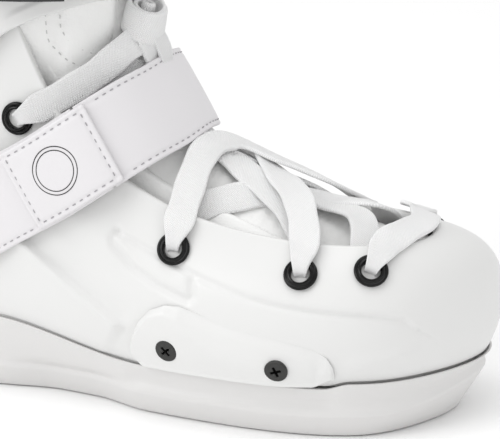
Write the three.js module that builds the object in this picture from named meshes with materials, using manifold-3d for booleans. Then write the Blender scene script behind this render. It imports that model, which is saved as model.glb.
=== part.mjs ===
// Street skate boot: a hard shell boot with its sole plate, without frame or wheels. It is a right boot.
// Millimetres. +X points to the toe, +Z up, +Y to the inner side of the foot. The origin is the middle of the
// flat face under the sole plate, half way between the two frame bolts.

import * as THREE from 'three';
import { mergeVertices } from 'three/addons/utils/BufferGeometryUtils.js';
import Module from 'manifold-3d';

const wasm = await Module();
wasm.setup();

// ---- driving dimensions ----
const GAP = 0.35; // clearance between pieces that touch
const SHELL_WALL = 3.5;
const SHELL_BASE_Z = 22; // underside of the shell floor
const SHELL_FLOOR = 4;
const FRAME_BOLT_SPACING = 165; // street skate frame standard
const FRAME_BOLT_R = 3.2;
const FRAME_NUT_SIDE = 18;
const FRAME_NUT_THICK = 4;
const TRAY_WALL = 2.2; // wall of the sole plate round the foot of the shell
const SOLE_RIDGE_Z = 11; // height of the widest line of the sole plate
const SOLE_POCKETS = [[-126, 34, 40], [-25, 70, 46], [35, 34, 60], [115, 22, 34]]; // x, length, width
const SOLE_POCKET_Z = 4;
const PAD_THICK = 5; // shock pad under the liner
const LINER_SET_IN = SHELL_WALL + 4.5; // from the outside of the shell to the outside of the liner, under the lace
const LINER_SNUG_IN = SHELL_WALL + 1.5; // the same below the eyelets, where the liner fills the shell
const LINER_WALL = 6;
const EYELET_R = 7;
const EYELET_HOLE_R = 4;
const EYELET_BARREL_R = 5;
const EYELET_RIM = 2.4;
const LACE_WIDTH = 8;
const LACE_THICK = 2.2;
const LACE_CORE_R = 2.6; // the lace gathered in an eyelet
const LACE_UNDER = SHELL_WALL + 2.3; // depth of the lace under the outside of the shell
const LACE_OVER = 5.2; // height of the lace over an eyelet
const SCREW_R = 2.5;
const SCREW_HEAD_R = 5;
const SCREW_HEAD = 2.4;
const SCREW_LENGTH = 9;
const PLATE_THICK = 3;
const PLATE_SEAT = 0.7; // from the shell to the back of a side plate
const CUFF_WALL = 3.5;
const CUFF_FRONT_HALF_GAP = 22; // degrees each side of straight ahead
const PIVOT_X = -92;
const PIVOT_Z = 118;
const PIVOT_R = 4.5;
const STRAP_WIDTH = 38;
const STRAP_THICK = 2;
const PATCH_THICK = 3;
const LADDER_HEIGHT = 17;
const LADDER_THICK = 2.2;
const LADDER_Z = 191;
const BUCKLE_HEIGHT = 26;
const BUCKLE_PIN_R = 1.8;
const RIVET_R = 2.5;
const TONGUE_THICK = 6;
const COLUMNS = 54; // round the boot, in the shell and the sole plate
const LINER_TOP_Z = 283;

// The shell wall, station by station round the boot from the toe along the outer side to the heel and back:
// foot of the wall [x, y], widest point [x, y, z], top edge [x, y, z], then the fullness of the wall above the
// widest point, and how far the wall leans in (flat) and up (steep) where it reaches its top edge.
const STATIONS = [
  [[145, 21], [154, 24, 50], [128, 7, 82], 0.6, 0.66, 0.14],
  [[137, -8], [144, -9, 50], [125, -12, 81], 0.6, 0.64, 0.16],
  [[115, -34], [122, -39, 49], [112, -25, 81], 0.58, 0.54, 0.2],
  [[86, -45], [89, -51, 47], [86, -33, 80], 0.55, 0.42, 0.26],
  [[50, -47], [50, -54, 46], [50, -36, 83], 0.5, 0.34, 0.28],
  [[10, -44], [10, -50, 48], [14, -38, 91], 0.45, 0.3, 0.3],
  [[-30, -38], [-30, -46, 52], [-21, -39, 115], 0.4, 0.15, 0.3],
  [[-66, -37], [-66, -43.5, 58], [-39, -38.5, 142], 0.4, 0.1, 0.3],
  [[-96, -37], [-98, -42.5, 60], [-54, -38.5, 168], 0.4, 0.05, 0.3],
  [[-126, -32], [-130, -36, 60], [-94, -39, 160], 0.4, 0.04, 0.3],
  [[-148, -18], [-153, -20, 60], [-123, -24, 148], 0.4, 0.06, 0.3],
  [[-152, 4], [-158, 3, 60], [-136, 2, 143], 0.4, 0.08, 0.3],
  [[-142, 25], [-147, 27, 60], [-119, 27, 148], 0.4, 0.06, 0.3],
  [[-114, 34], [-117, 38.5, 60], [-88, 39.5, 160], 0.4, 0.04, 0.3],
  [[-84, 34], [-85, 40, 60], [-53, 38.5, 167], 0.4, 0.05, 0.3],
  [[-50, 33], [-50, 39.5, 57], [-37, 38.5, 140], 0.4, 0.1, 0.3],
  [[-14, 36], [-14, 42, 52], [-14, 38, 110], 0.42, 0.2, 0.3],
  [[22, 43], [22, 49, 48], [22, 36, 89], 0.47, 0.3, 0.3],
  [[60, 49], [60, 55, 47], [58, 35, 83], 0.52, 0.38, 0.27],
  [[94, 51], [97, 57, 48], [88, 32, 81], 0.56, 0.45, 0.24],
  [[127, 46], [135, 51, 49], [112, 24, 82], 0.58, 0.6, 0.18],
];
const WALL_BULGE = 0.45; // share of the lower wall's height at which it is already full width
const WIDEST_V = 0.35; // the wall's height parameter at its widest line
const EYELET_PLACES = [[109.5, 72.8], [82, 70.6], [26, 75.6], [-47, 124]]; // [x, z] from toe to ankle
const PLATE_SCREWS = [[26.5, 34.5], [75, 32.2]]; // [x, z]

// ---- shared geometry ----
const vec = (x, y, z) => new THREE.Vector3(x, y, z);

// A closed skin through rings of points, with a flat fan over the first and the last ring.
function ringSolid(rings) {
  const count = rings[0].length;
  const points = rings.flat();
  const faces = [];
  for (let r = 0; r + 1 < rings.length; r += 1) {
    for (let i = 0; i < count; i += 1) {
      const j = (i + 1) % count;
      const a = r * count + i;
      const b = r * count + j;
      faces.push([a, b, b + count], [a, b + count, a + count]);
    }
  }
  const last = (rings.length - 1) * count;
  const middle = (ring) => ring.reduce((sum, p) => sum.add(p), vec(0, 0, 0)).divideScalar(count);
  points.push(middle(rings[0]), middle(rings[rings.length - 1]));
  for (let i = 0; i < count; i += 1) {
    const j = (i + 1) % count;
    faces.push([j, i, points.length - 2], [last + i, last + j, points.length - 1]);
  }
  return solidOf(points, faces);
}

// A skin of the given thickness over a grid: place(a, b, outside) gives its two faces for a and b from 0 to 1.
function skin(alongCount, acrossCount, place) {
  const rings = [];
  for (let i = 0; i <= alongCount; i += 1) {
    const a = i / alongCount;
    const outer = [];
    const inner = [];
    for (let j = 0; j <= acrossCount; j += 1) {
      outer.push(place(a, j / acrossCount, true));
      inner.push(place(a, j / acrossCount, false));
    }
    rings.push([...outer, ...inner.reverse()]);
  }
  const count = rings[0].length;
  const points = rings.flat();
  const faces = [];
  for (let r = 0; r < alongCount; r += 1) {
    for (let i = 0; i < count; i += 1) {
      const j = (i + 1) % count;
      const a = r * count + i;
      const b = r * count + j;
      faces.push([a, b, b + count], [a, b + count, a + count]);
    }
  }
  const last = alongCount * count;
  for (let j = 0; j < acrossCount; j += 1) {
    const low = [j, j + 1, count - 2 - j, count - 1 - j];
    faces.push([low[0], low[2], low[1]], [low[0], low[3], low[2]]);
    const high = low.map((k) => k + last);
    faces.push([high[0], high[1], high[2]], [high[0], high[2], high[3]]);
  }
  return solidOf(points, faces);
}

function solidOf(points, faces) {
  const geometry = new THREE.BufferGeometry();
  geometry.setAttribute('position', new THREE.Float32BufferAttribute(points.flatMap((p) => p.toArray()), 3));
  geometry.setIndex(faces.flat());
  return geometryToSolid(geometry);
}

// Six times the volume inside a closed mesh: below zero when its faces point inwards.
function signedVolume(positions, indices) {
  const corner = (i) => new THREE.Vector3().fromArray(positions, indices[i] * 3);
  let sum = 0;
  for (let i = 0; i < indices.length; i += 3) {
    sum += corner(i).dot(corner(i + 1).cross(corner(i + 2)));
  }
  return sum;
}

// A closed geometry as a solid, turned right side out.
function geometryToSolid(geometry) {
  geometry.deleteAttribute('normal');
  geometry.deleteAttribute('uv');
  const merged = mergeVertices(geometry, 1e-4);
  const vertProperties = new Float32Array(merged.attributes.position.array);
  const triVerts = new Uint32Array(merged.index.array);
  if (signedVolume(vertProperties, triVerts) < 0) triVerts.reverse();
  return new wasm.Manifold(new wasm.Mesh({ numProp: 3, vertProperties, triVerts }));
}

// Turns local +Z to the given direction and moves the origin to the given place.
function stand(geometry, place, direction) {
  const turn = new THREE.Quaternion().setFromUnitVectors(vec(0, 0, 1), direction.clone().normalize());
  return geometryToSolid(geometry.applyQuaternion(turn).translate(place.x, place.y, place.z));
}

function rod(radius, length, segments = 16) {
  return new THREE.CylinderGeometry(radius, radius, length, segments).rotateX(Math.PI / 2);
}

// A turned piece about local Z; the profile is [radius, height] pairs that close on themselves or on the axis.
function turned(profile, segments = 16) {
  const points = profile.map(([r, z]) => new THREE.Vector2(r, z));
  return new THREE.LatheGeometry(points, segments).rotateX(Math.PI / 2);
}

function meshOf(name, solid, color, roughness, metalness) {
  const { vertProperties, triVerts, numProp } = solid.getMesh();
  const geometry = new THREE.BufferGeometry();
  const positions = new Float32Array((vertProperties.length / numProp) * 3);
  for (let i = 0; i < positions.length / 3; i += 1) {
    positions.set(vertProperties.subarray(i * numProp, i * numProp + 3), i * 3);
  }
  geometry.setAttribute('position', new THREE.BufferAttribute(positions, 3));
  geometry.setIndex(new THREE.BufferAttribute(new Uint32Array(triVerts), 1));
  geometry.computeVertexNormals();
  const mesh = new THREE.Mesh(geometry, new THREE.MeshStandardMaterial({ color, roughness, metalness }));
  mesh.name = name;
  return mesh;
}

const whitePlastic = (name, solid) => meshOf(name, solid, 0xf1f1ef, 0.35, 0);
const solePlastic = (name, solid) => meshOf(name, solid, 0xe4e4e2, 0.45, 0);
const whiteLeather = (name, solid) => meshOf(name, solid, 0xeeecec, 0.6, 0);
const whiteTextile = (name, solid) => meshOf(name, solid, 0xebebeb, 0.85, 0);
const darkSteel = (name, solid) => meshOf(name, solid, 0x4b4b49, 0.35, 0.9);
const blackGloss = (name, solid) => meshOf(name, solid, 0x141414, 0.25, 0.3);
const greyFoam = (name, solid) => meshOf(name, solid, 0x9a9a98, 0.9, 0);

// ---- the shell's wall as a smooth surface ----
// Cubic B-spline weights round the closed row of stations.
function stationAt(u) {
  const count = STATIONS.length;
  const s = (((u % 1) + 1) % 1) * count;
  const base = Math.floor(s);
  const t = s - base;
  const weights = [(1 - t) ** 3, 3 * t ** 3 - 6 * t ** 2 + 4, -3 * t ** 3 + 3 * t ** 2 + 3 * t + 1, t ** 3];
  const total = new Array(11).fill(0);
  weights.forEach((weight, k) => {
    const flat = STATIONS[(base - 1 + k + count) % count].flat();
    flat.forEach((value, n) => { total[n] += (weight / 6) * value; });
  });
  return total;
}

const stationU = (station) => station / STATIONS.length;

function wallPoint(u, v) {
  const [bx, by, px, py, pz, tx, ty, tz, full, flat, steep] = stationAt(u);
  if (v <= WIDEST_V) {
    const t = v / WIDEST_V;
    const rise = pz - SHELL_BASE_Z;
    const z = SHELL_BASE_Z + rise * (2 * WALL_BULGE * t * (1 - t) + t * t);
    const out = 2 * t * (1 - t) + t * t;
    return vec(bx + (px - bx) * out, by + (py - by) * out, z);
  }
  const t = (v - WIDEST_V) / (1 - WIDEST_V);
  const rise = tz - pz;
  const b = [(1 - t) ** 3, 3 * t * (1 - t) ** 2, 3 * t * t * (1 - t), t ** 3];
  const x = px * (b[0] + b[1]) + (tx + flat * (px - tx)) * b[2] + tx * b[3];
  const y = py * (b[0] + b[1]) + (ty + flat * (py - ty)) * b[2] + ty * b[3];
  const z = pz * b[0] + (pz + full * rise) * b[1] + (tz - steep * rise) * b[2] + tz * b[3];
  return vec(x, y, z);
}

function wallNormal(u, v) {
  const step = 0.004;
  const low = Math.max(0, v - step);
  const high = Math.min(1, v + step);
  const along = wallPoint(u + step, v).sub(wallPoint(u - step, v));
  const up = wallPoint(u, high).sub(wallPoint(u, low));
  return vec(0, 0, 0).crossVectors(up, along).normalize();
}

function offWall(u, v, distance) {
  return wallPoint(u, v).addScaledVector(wallNormal(u, v), distance);
}

// The wall's height parameter where the lower wall reaches the height z.
function vAtHeight(u, z) {
  const rise = stationAt(u)[4] - SHELL_BASE_Z;
  const share = Math.min(1, Math.max(0, (z - SHELL_BASE_Z) / rise));
  const bend = 1 - 2 * WALL_BULGE;
  return WIDEST_V * ((-2 * WALL_BULGE + Math.sqrt(4 * WALL_BULGE ** 2 + 4 * bend * share)) / (2 * bend));
}

// The u and v of the wall point nearest to [x, z] on one side: side -1 is the outer side.
function onWall(x, z, side) {
  let best = { distance: Infinity };
  for (let i = 0; i < 420; i += 1) {
    const u = i / 420;
    for (let j = 0; j <= 100; j += 1) {
      const p = wallPoint(u, j / 100);
      const distance = Math.hypot(p.x - x, p.z - z);
      if (p.y * side > 0 && distance < best.distance) best = { distance, u, v: j / 100 };
    }
  }
  return best;
}

function wallRing(v, distance, columns = COLUMNS) {
  return Array.from({ length: columns }, (_, i) => offWall(i / columns, v, distance));
}

// The wall's foot moved in or out in plan, at the height z.
function footRing(inset, z, columns = COLUMNS) {
  return Array.from({ length: columns }, (_, i) => {
    const u = i / columns;
    const normal = wallNormal(u, 0).setZ(0).normalize();
    return wallPoint(u, 0).addScaledVector(normal, -inset).setZ(z);
  });
}

const SIDES = [[-1, 'outer'], [1, 'inner']];
const eyelets = SIDES.flatMap(([side, sideName]) => EYELET_PLACES.map(([x, z], row) => {
  const { u, v } = onWall(x, z, side);
  return { name: `eyelet_${sideName}_${row + 1}`, u, point: wallPoint(u, v), normal: wallNormal(u, v), side, row };
}));

const plateScrews = SIDES.flatMap(([side, sideName]) => PLATE_SCREWS.map(([x, z], row) => {
  const { u, v } = onWall(x, z, side);
  return { name: `plate_screw_${sideName}_${row + 1}`, u, point: wallPoint(u, v), normal: wallNormal(u, v) };
}));

// ---- shell ----
function makeShell() {
  const outer = [0, 0.12, 0.24, 0.37, 0.54, 0.7, 0.85, 1].map((v) => wallRing(v, 0));
  const inner = [1, 0.86, 0.68, 0.46, 0.26].map((v) => wallRing(v, -SHELL_WALL));
  const floor = footRing(SHELL_WALL, SHELL_BASE_Z + SHELL_FLOOR);
  let shell = ringSolid([...outer, ...inner, floor]);
  for (const { point, normal } of eyelets) {
    shell = shell.subtract(stand(rod(EYELET_BARREL_R + GAP, 16, 12), point, normal));
  }
  for (const { point, normal } of plateScrews) {
    shell = shell.subtract(stand(rod(SCREW_R + GAP, 30, 8), point, normal));
  }
  for (const share of STRAP_RIVETS) shell = shell.subtract(strapRivetHole(share));
  return shell.subtract(pivotHole());
}

// The hole through both sides for the bolts that the cuff turns on.
function pivotHole() {
  const length = 140;
  return geometryToSolid(rod(PIVOT_R + GAP, length).rotateX(Math.PI / 2).translate(PIVOT_X, 0, PIVOT_Z));
}

// ---- sole plate: a tray that holds the foot of the shell, with sliding edges ----
// Height of the tray's rim: low under the side plates, a lip at the toe, a high wall at the heel.
function rimHeight(x) {
  const low = SHELL_BASE_Z + 0.7;
  const heel = low + 12.5 * THREE.MathUtils.smoothstep(-x, -12, 62);
  const toe = 2.6 * THREE.MathUtils.smoothstep(x, 92, 102) + 1.2 * THREE.MathUtils.smoothstep(x, 110, 145);
  return heel + toe;
}

// The scoop in the waist of the sole plate, between the heel and the ball of the foot.
function waistScoop(x) {
  return THREE.MathUtils.smoothstep(x, -62, -38) * (1 - THREE.MathUtils.smoothstep(x, -18, 8));
}

function makeSolePlate() {
  const columns = Array.from({ length: COLUMNS }, (_, i) => i / COLUMNS);
  const normalIn = (u) => wallNormal(u, 0).setZ(0).normalize();
  const plan = (u, out, z) => wallPoint(u, 0).addScaledVector(normalIn(u), out).setZ(z);
  const toeLift = (x) => 15 * THREE.MathUtils.smoothstep(x, 100, 150) ** 2;
  const bottom = columns.map((u) => {
    const x = wallPoint(u, 0).x;
    return plan(u, -3 - 5 * waistScoop(x) - 6 * THREE.MathUtils.smoothstep(x, 105, 145), 0);
  });
  const ridge = columns.map((u) => {
    const x = wallPoint(u, 0).x;
    return plan(u, 2.5 - 5.5 * waistScoop(x), SOLE_RIDGE_Z + toeLift(x) * 0.7);
  });
  const rimAt = (u, distance, drop) => {
    const z = rimHeight(wallPoint(u, 0).x) - drop;
    return offWall(u, vAtHeight(u, z), distance).setZ(z);
  };
  const rimOut = columns.map((u) => rimAt(u, GAP + TRAY_WALL, 0));
  const rimIn = columns.map((u) => rimAt(u, GAP, 0));
  const wellTop = SHELL_BASE_Z - GAP;
  const well = columns.map((u) => plan(u, GAP, wellTop));
  let plate = ringSolid([bottom, ridge, rimOut, rimIn, well]);
  const nutSeat = FRAME_NUT_SIDE + 2 * GAP;
  for (const x of [-FRAME_BOLT_SPACING / 2, FRAME_BOLT_SPACING / 2]) {
    plate = plate.subtract(geometryToSolid(rod(FRAME_BOLT_R, 60).translate(x, 0, 0)));
    plate = plate.subtract(geometryToSolid(
      new THREE.BoxGeometry(nutSeat, nutSeat, 20).translate(x, 0, wellTop + 10 - FRAME_NUT_THICK - 1)));
  }
  for (const [x, length, width] of SOLE_POCKETS) {
    const pocket = new THREE.BoxGeometry(length, width, 30).translate(x, 2, SOLE_POCKET_Z + 15);
    plate = plate.subtract(geometryToSolid(pocket));
  }
  return plate;
}

function makeFrameNut(x) {
  const top = SHELL_BASE_Z - 2 * GAP;
  const block = new THREE.BoxGeometry(FRAME_NUT_SIDE, FRAME_NUT_SIDE, FRAME_NUT_THICK)
    .translate(x, 0, top - FRAME_NUT_THICK / 2);
  return geometryToSolid(block).subtract(geometryToSolid(rod(FRAME_BOLT_R, 20).translate(x, 0, top)));
}

// ---- side plates: pads bolted over the ball of the foot ----
function makeSidePlate(front, back) {
  const foot = 0.045;
  const height = 0.37;
  const solid = skin(14, 4, (a, b, outside) => {
    const u = stationU(front + (back - front) * a);
    const end = Math.abs(2 * a - 1);
    const top = foot + height * Math.sqrt(Math.max(0.02, 1 - end ** 5));
    const edge = Math.min(1, 6 * Math.min(a, 1 - a, b, 1 - b));
    const bulge = PLATE_THICK * (0.45 + 0.55 * edge);
    return offWall(u, foot + (top - foot) * b, outside ? PLATE_SEAT + bulge : PLATE_SEAT);
  });
  return plateScrews.reduce((plate, { point, normal }) => {
    const seat = point.clone().addScaledVector(normal, PLATE_SEAT + PLATE_THICK - SCREW_HEAD + 10);
    const hole = stand(rod(SCREW_R + GAP, 30, 8), point, normal);
    return plate.subtract(hole).subtract(stand(rod(SCREW_HEAD_R + GAP, 20, 14), seat, normal));
  }, solid);
}

function makePlateScrew({ point, normal }) {
  const head = PLATE_SEAT + PLATE_THICK;
  const profile = [[0, head + 0.5], [SCREW_HEAD_R * 0.7, head + 0.3], [SCREW_HEAD_R, head - 0.4],
    [SCREW_HEAD_R, head - SCREW_HEAD + GAP], [SCREW_R, head - SCREW_HEAD + GAP],
    [SCREW_R, head - SCREW_LENGTH], [0, head - SCREW_LENGTH]];
  const screw = stand(turned(profile, 14), point, normal);
  const top = point.clone().addScaledVector(normal, head);
  const slots = [[5, 1.1], [1.1, 5]].map(([width, length]) => (
    stand(new THREE.BoxGeometry(width, length, 2.4), top, normal)));
  return screw.subtract(slots[0]).subtract(slots[1]);
}

// ---- eyelets ----
function makeEyelet({ point, normal }) {
  const inside = -SHELL_WALL - 0.2;
  const profile = [[EYELET_BARREL_R, inside], [EYELET_BARREL_R, GAP], [EYELET_R, GAP],
    [EYELET_R, GAP + 0.9], [5.6, GAP + EYELET_RIM], [EYELET_HOLE_R + 0.5, GAP + 1.8],
    [EYELET_HOLE_R, GAP + 0.8], [EYELET_HOLE_R, inside], [EYELET_BARREL_R, inside]];
  return stand(turned(profile, 12), point, normal);
}

// ---- cuff and its pivots ----
const leg = (z) => -80 + (z - PIVOT_Z) * 0.167;
const blendBy = (z, rows) => {
  const k = Math.max(1, Math.min(rows.length - 1, rows.findIndex(([height]) => height >= z)));
  const [[z0, a], [z1, b]] = [rows[k - 1], rows[z > rows[rows.length - 1][0] ? rows.length - 1 : k]];
  return THREE.MathUtils.lerp(a, b, THREE.MathUtils.clamp((z - z0) / (z1 - z0), 0, 1));
};
const CUFF_HALF_LENGTH = [[100, 71], [172, 63], [285, 60]];
const CUFF_HALF_WIDTH = [[100, 44], [165, 42.5], [220, 45], [285, 49]];

// A point on the inside of the cuff: degrees are counted from straight ahead towards the inner side.
function cuffPoint(degrees, z, distance) {
  const angle = THREE.MathUtils.degToRad(degrees);
  const a = blendBy(z, CUFF_HALF_LENGTH) + distance;
  const b = blendBy(z, CUFF_HALF_WIDTH) + distance;
  return vec(leg(z) + a * Math.cos(angle), b * Math.sin(angle), z);
}

const CUFF_LOW = [[22, 178], [48, 170], [70, 160], [88, 140], [98, 112], [108, 102], [122, 103], [140, 114],
  [180, 120]];
const CUFF_HIGH = [[22, 226], [60, 238], [100, 246], [140, 252], [180, 252]];

function makeCuff() {
  const cuff = skin(38, 5, (a, b, outside) => {
    const degrees = CUFF_FRONT_HALF_GAP + (360 - 2 * CUFF_FRONT_HALF_GAP) * a;
    const fromFront = Math.min(degrees, 360 - degrees);
    const low = blendBy(fromFront, CUFF_LOW);
    const high = blendBy(fromFront, CUFF_HIGH);
    return cuffPoint(degrees, low + (high - low) * b, outside ? CUFF_WALL : 0);
  });
  return cuff.subtract(pivotHole()).subtract(ladderRivetHole());
}

function ladderRivetHole() {
  const place = cuffPoint(LADDER_RIVET_DEGREES, LADDER_Z, 0);
  const length = 40;
  return stand(rod(RIVET_R + GAP, length, 10), place, cuffOutward(LADDER_RIVET_DEGREES, LADDER_Z));
}

function cuffOutward(degrees, z) {
  const ahead = cuffPoint(degrees + 1, z, 0);
  const behind = cuffPoint(degrees - 1, z, 0);
  return vec(0, 0, 0).crossVectors(ahead.sub(behind), vec(0, 0, 1)).normalize();
}

// The cuff's half width at the pivot, on its outside.
function pivotReach(distance) {
  const z = PIVOT_Z;
  const a = blendBy(z, CUFF_HALF_LENGTH) + distance;
  const b = blendBy(z, CUFF_HALF_WIDTH) + distance;
  return b * Math.sqrt(1 - ((PIVOT_X - leg(z)) / a) ** 2);
}

function makePivotBolt(side) {
  const reach = pivotReach(CUFF_WALL) + GAP + 0.3;
  const profile = [[0, reach + 3], [7, reach + 3], [9, reach + 1.4], [9, reach], [PIVOT_R, reach],
    [PIVOT_R, PIVOT_INNER_Y], [0, PIVOT_INNER_Y]];
  return stand(turned(profile, 20), vec(PIVOT_X, 0, PIVOT_Z), vec(0, side, 0));
}

function shellHalfWidthAtPivot(side) {
  const { u, v } = onWall(PIVOT_X, PIVOT_Z, side);
  return Math.abs(wallPoint(u, v).y);
}

const PIVOT_INNER_Y = Math.min(shellHalfWidthAtPivot(-1), shellHalfWidthAtPivot(1)) - SHELL_WALL - 2.9;

function makePivotNut(side) {
  const face = shellHalfWidthAtPivot(side) - SHELL_WALL - 1.6;
  const profile = [[PIVOT_R + GAP, face], [6.4, face], [6.4, face - 1.8], [PIVOT_R + GAP, face - 1.8],
    [PIVOT_R + GAP, face]];
  return stand(turned(profile, 16), vec(PIVOT_X, 0, PIVOT_Z), vec(0, side, 0));
}

// ---- ratchet buckle and its toothed strap ----
const LADDER_RIVET_DEGREES = 58;
const LADDER_TIP_DEGREES = -88;
const BUCKLE_FRONT_DEGREES = -44;
const BUCKLE_BACK_DEGREES = -82;
const BUCKLE_PIN_DEGREES = -75;
const BUCKLE_BASE_THICK = 2;
const LADDER_OFF = CUFF_WALL + GAP + BUCKLE_BASE_THICK + GAP;
const BUCKLE_PIN_OFF = LADDER_OFF + LADDER_THICK + 1 + GAP + 4;
const CHEEK_THICK = 2.5;

function onCuff(degreesFrom, degreesTo, zFrom, zTo, from, to, steps = 8) {
  return skin(steps, 1, (a, b, outside) => (
    cuffPoint(degreesFrom + (degreesTo - degreesFrom) * a, zFrom + (zTo - zFrom) * b, outside ? to : from)));
}

function makeBuckleBase() {
  const low = LADDER_Z - BUCKLE_HEIGHT / 2;
  const high = LADDER_Z + BUCKLE_HEIGHT / 2;
  const floor = CUFF_WALL + GAP;
  const top = BUCKLE_PIN_OFF + 4;
  let base = onCuff(BUCKLE_BACK_DEGREES, BUCKLE_FRONT_DEGREES, low, high, floor, floor + BUCKLE_BASE_THICK);
  const cheek = (from, to) => onCuff(BUCKLE_BACK_DEGREES, BUCKLE_FRONT_DEGREES - 8, from, to, floor + 0.5, top);
  base = base.add(cheek(low, low + CHEEK_THICK)).add(cheek(high - CHEEK_THICK, high));
  return base.subtract(pinRod(BUCKLE_PIN_R + GAP, BUCKLE_HEIGHT + 8));
}

function pinRod(radius, length) {
  const place = cuffPoint(BUCKLE_PIN_DEGREES, LADDER_Z, BUCKLE_PIN_OFF);
  return geometryToSolid(rod(radius, length, 14).translate(place.x, place.y, place.z));
}

function makeBuckleLever() {
  const low = LADDER_Z - BUCKLE_HEIGHT / 2 + CHEEK_THICK + GAP;
  const high = LADDER_Z + BUCKLE_HEIGHT / 2 - CHEEK_THICK - GAP;
  const hub = pinRod(3.6, high - low);
  const arm = onCuff(BUCKLE_PIN_DEGREES, BUCKLE_FRONT_DEGREES + 4, low, high, BUCKLE_PIN_OFF + 0.4,
    BUCKLE_PIN_OFF + 3.4);
  return hub.add(arm).subtract(pinRod(BUCKLE_PIN_R + GAP, 60));
}

function makeLadder() {
  const low = LADDER_Z - LADDER_HEIGHT / 2;
  const high = LADDER_Z + LADDER_HEIGHT / 2;
  let ladder = onCuff(LADDER_RIVET_DEGREES + 9, LADDER_TIP_DEGREES, low, high, LADDER_OFF,
    LADDER_OFF + LADDER_THICK, 26);
  for (let degrees = -4; degrees > LADDER_TIP_DEGREES + 5; degrees -= 9) {
    const tooth = onCuff(degrees - 1.5, degrees + 1.5, low + 3, high - 3, LADDER_OFF + 1,
      LADDER_OFF + LADDER_THICK + 0.8, 1);
    ladder = ladder.add(tooth);
  }
  return ladder.subtract(ladderRivetHole());
}

function makeLadderRivet() {
  const place = cuffPoint(LADDER_RIVET_DEGREES, LADDER_Z, 0);
  const top = LADDER_OFF + LADDER_THICK + GAP + 0.3;
  const profile = [[0, top + 1.8], [3.5, top + 1.6], [5, top + 0.8], [5, top], [RIVET_R, top], [RIVET_R, 0.2], [0, 0.2]];
  return stand(turned(profile, 14), place, cuffOutward(LADDER_RIVET_DEGREES, LADDER_Z));
}

// ---- 45 degree strap ----
// The strap is a band whose width always runs along one direction; its middle line goes round the instep.
const STRAP_ACROSS = vec(-0.52, 0, 0.854).normalize();
const STRAP_LINE = [[-92, -44, 65], [-72, -47, 76], [-53, -47.5, 88], [-30, -47, 102], [-10, -43.5, 116],
  [3, -31, 125], [10.3, -14, 129.3], [12.5, 2, 131.5], [10.3, 17, 129.3], [3, 31, 125], [-10, 41.5, 116], [-30, 45, 102],
  [-53, 45.5, 88], [-72, 45, 76], [-92, 42.5, 65]];
const strapCurve = new THREE.CatmullRomCurve3(STRAP_LINE.map((p) => vec(...p)));
const PATCH_FROM = 0.195; // rear end of the sewn patch, as a share of the strap's length
const PATCH_TO = 0.337; // its front edge, where the band bends to open

function strapPoint(share, across, distance) {
  const tangent = strapCurve.getTangentAt(share);
  const outward = vec(0, 0, 0).crossVectors(tangent, STRAP_ACROSS).normalize();
  return strapCurve.getPointAt(share).addScaledVector(STRAP_ACROSS, across).addScaledVector(outward, distance);
}

function strapSkin(from, to, low, high, steps, width = STRAP_WIDTH) {
  return skin(steps, 2, (a, b, outside) => (
    strapPoint(from + (to - from) * a, width * (b - 0.5), outside ? high : low)));
}

const STRAP_RIVETS = [0.035, 0.965];
const PATCH_LOW = STRAP_THICK + GAP;

function strapRivetHole(share) {
  const tangent = strapCurve.getTangentAt(share);
  const outward = vec(0, 0, 0).crossVectors(tangent, STRAP_ACROSS).normalize();
  return stand(rod(RIVET_R + GAP, 40, 10), strapCurve.getPointAt(share), outward);
}

function makeStrapRivet(share) {
  const tangent = strapCurve.getTangentAt(share);
  const outward = vec(0, 0, 0).crossVectors(tangent, STRAP_ACROSS).normalize();
  const top = STRAP_THICK + GAP;
  const profile = [[0, top + 2], [4.5, top + 1.8], [6.5, top + 0.8], [6.5, top], [RIVET_R, top],
    [RIVET_R, -5], [0, -5]];
  return stand(turned(profile, 14), strapCurve.getPointAt(share), outward);
}

// ---- liner, tongue and what lies under the foot ----
const PAD_Z = SHELL_BASE_Z + SHELL_FLOOR + GAP;
const LINER_BASE_Z = PAD_Z + PAD_THICK + GAP;

function makePad() {
  const inset = LINER_SNUG_IN + 1;
  return ringSolid([footRing(inset, PAD_Z, 40), footRing(inset, PAD_Z + PAD_THICK, 40)]);
}

function makeInsole() {
  const low = LINER_BASE_Z + LINER_WALL + GAP;
  const inset = LINER_SNUG_IN + LINER_WALL + 3;
  return ringSolid([footRing(inset, low, 40), footRing(inset, low + 3, 40)]);
}

function makeLinerFoot() {
  const columns = COLUMNS;
  const level = (ring) => ring.map((p) => p.setZ(Math.max(p.z, LINER_BASE_Z + 2)));
  const setIn = (v) => THREE.MathUtils.lerp(LINER_SNUG_IN, LINER_SET_IN, THREE.MathUtils.smoothstep(v, 0.45, 0.62));
  const outer = [0.26, 0.45, 0.62, 0.8, 0.97].map((v) => level(wallRing(v, -setIn(v), columns)));
  const inner = [0.97, 0.8, 0.62, 0.45, 0.36].map((v) => wallRing(v, -setIn(v) - LINER_WALL, columns));
  const inset = LINER_SNUG_IN + LINER_WALL;
  return ringSolid([footRing(LINER_SNUG_IN, LINER_BASE_Z, columns), ...outer, ...inner,
    footRing(inset, LINER_BASE_Z + LINER_WALL, columns)]);
}

const SHAFT_FRONT_DEGREES = 48;
const SHAFT_IN = 1; // from the inside of the cuff to the liner

function makeLinerShaft() {
  return skin(30, 3, (a, b, outside) => {
    const degrees = SHAFT_FRONT_DEGREES + (360 - 2 * SHAFT_FRONT_DEGREES) * a;
    const fromFront = Math.min(degrees, 360 - degrees);
    const low = 176;
    const high = LINER_TOP_Z - 12 * (1 - fromFront / 180);
    return cuffPoint(degrees, low + (high - low) * b, outside ? -SHAFT_IN : -SHAFT_IN - LINER_WALL);
  });
}

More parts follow.
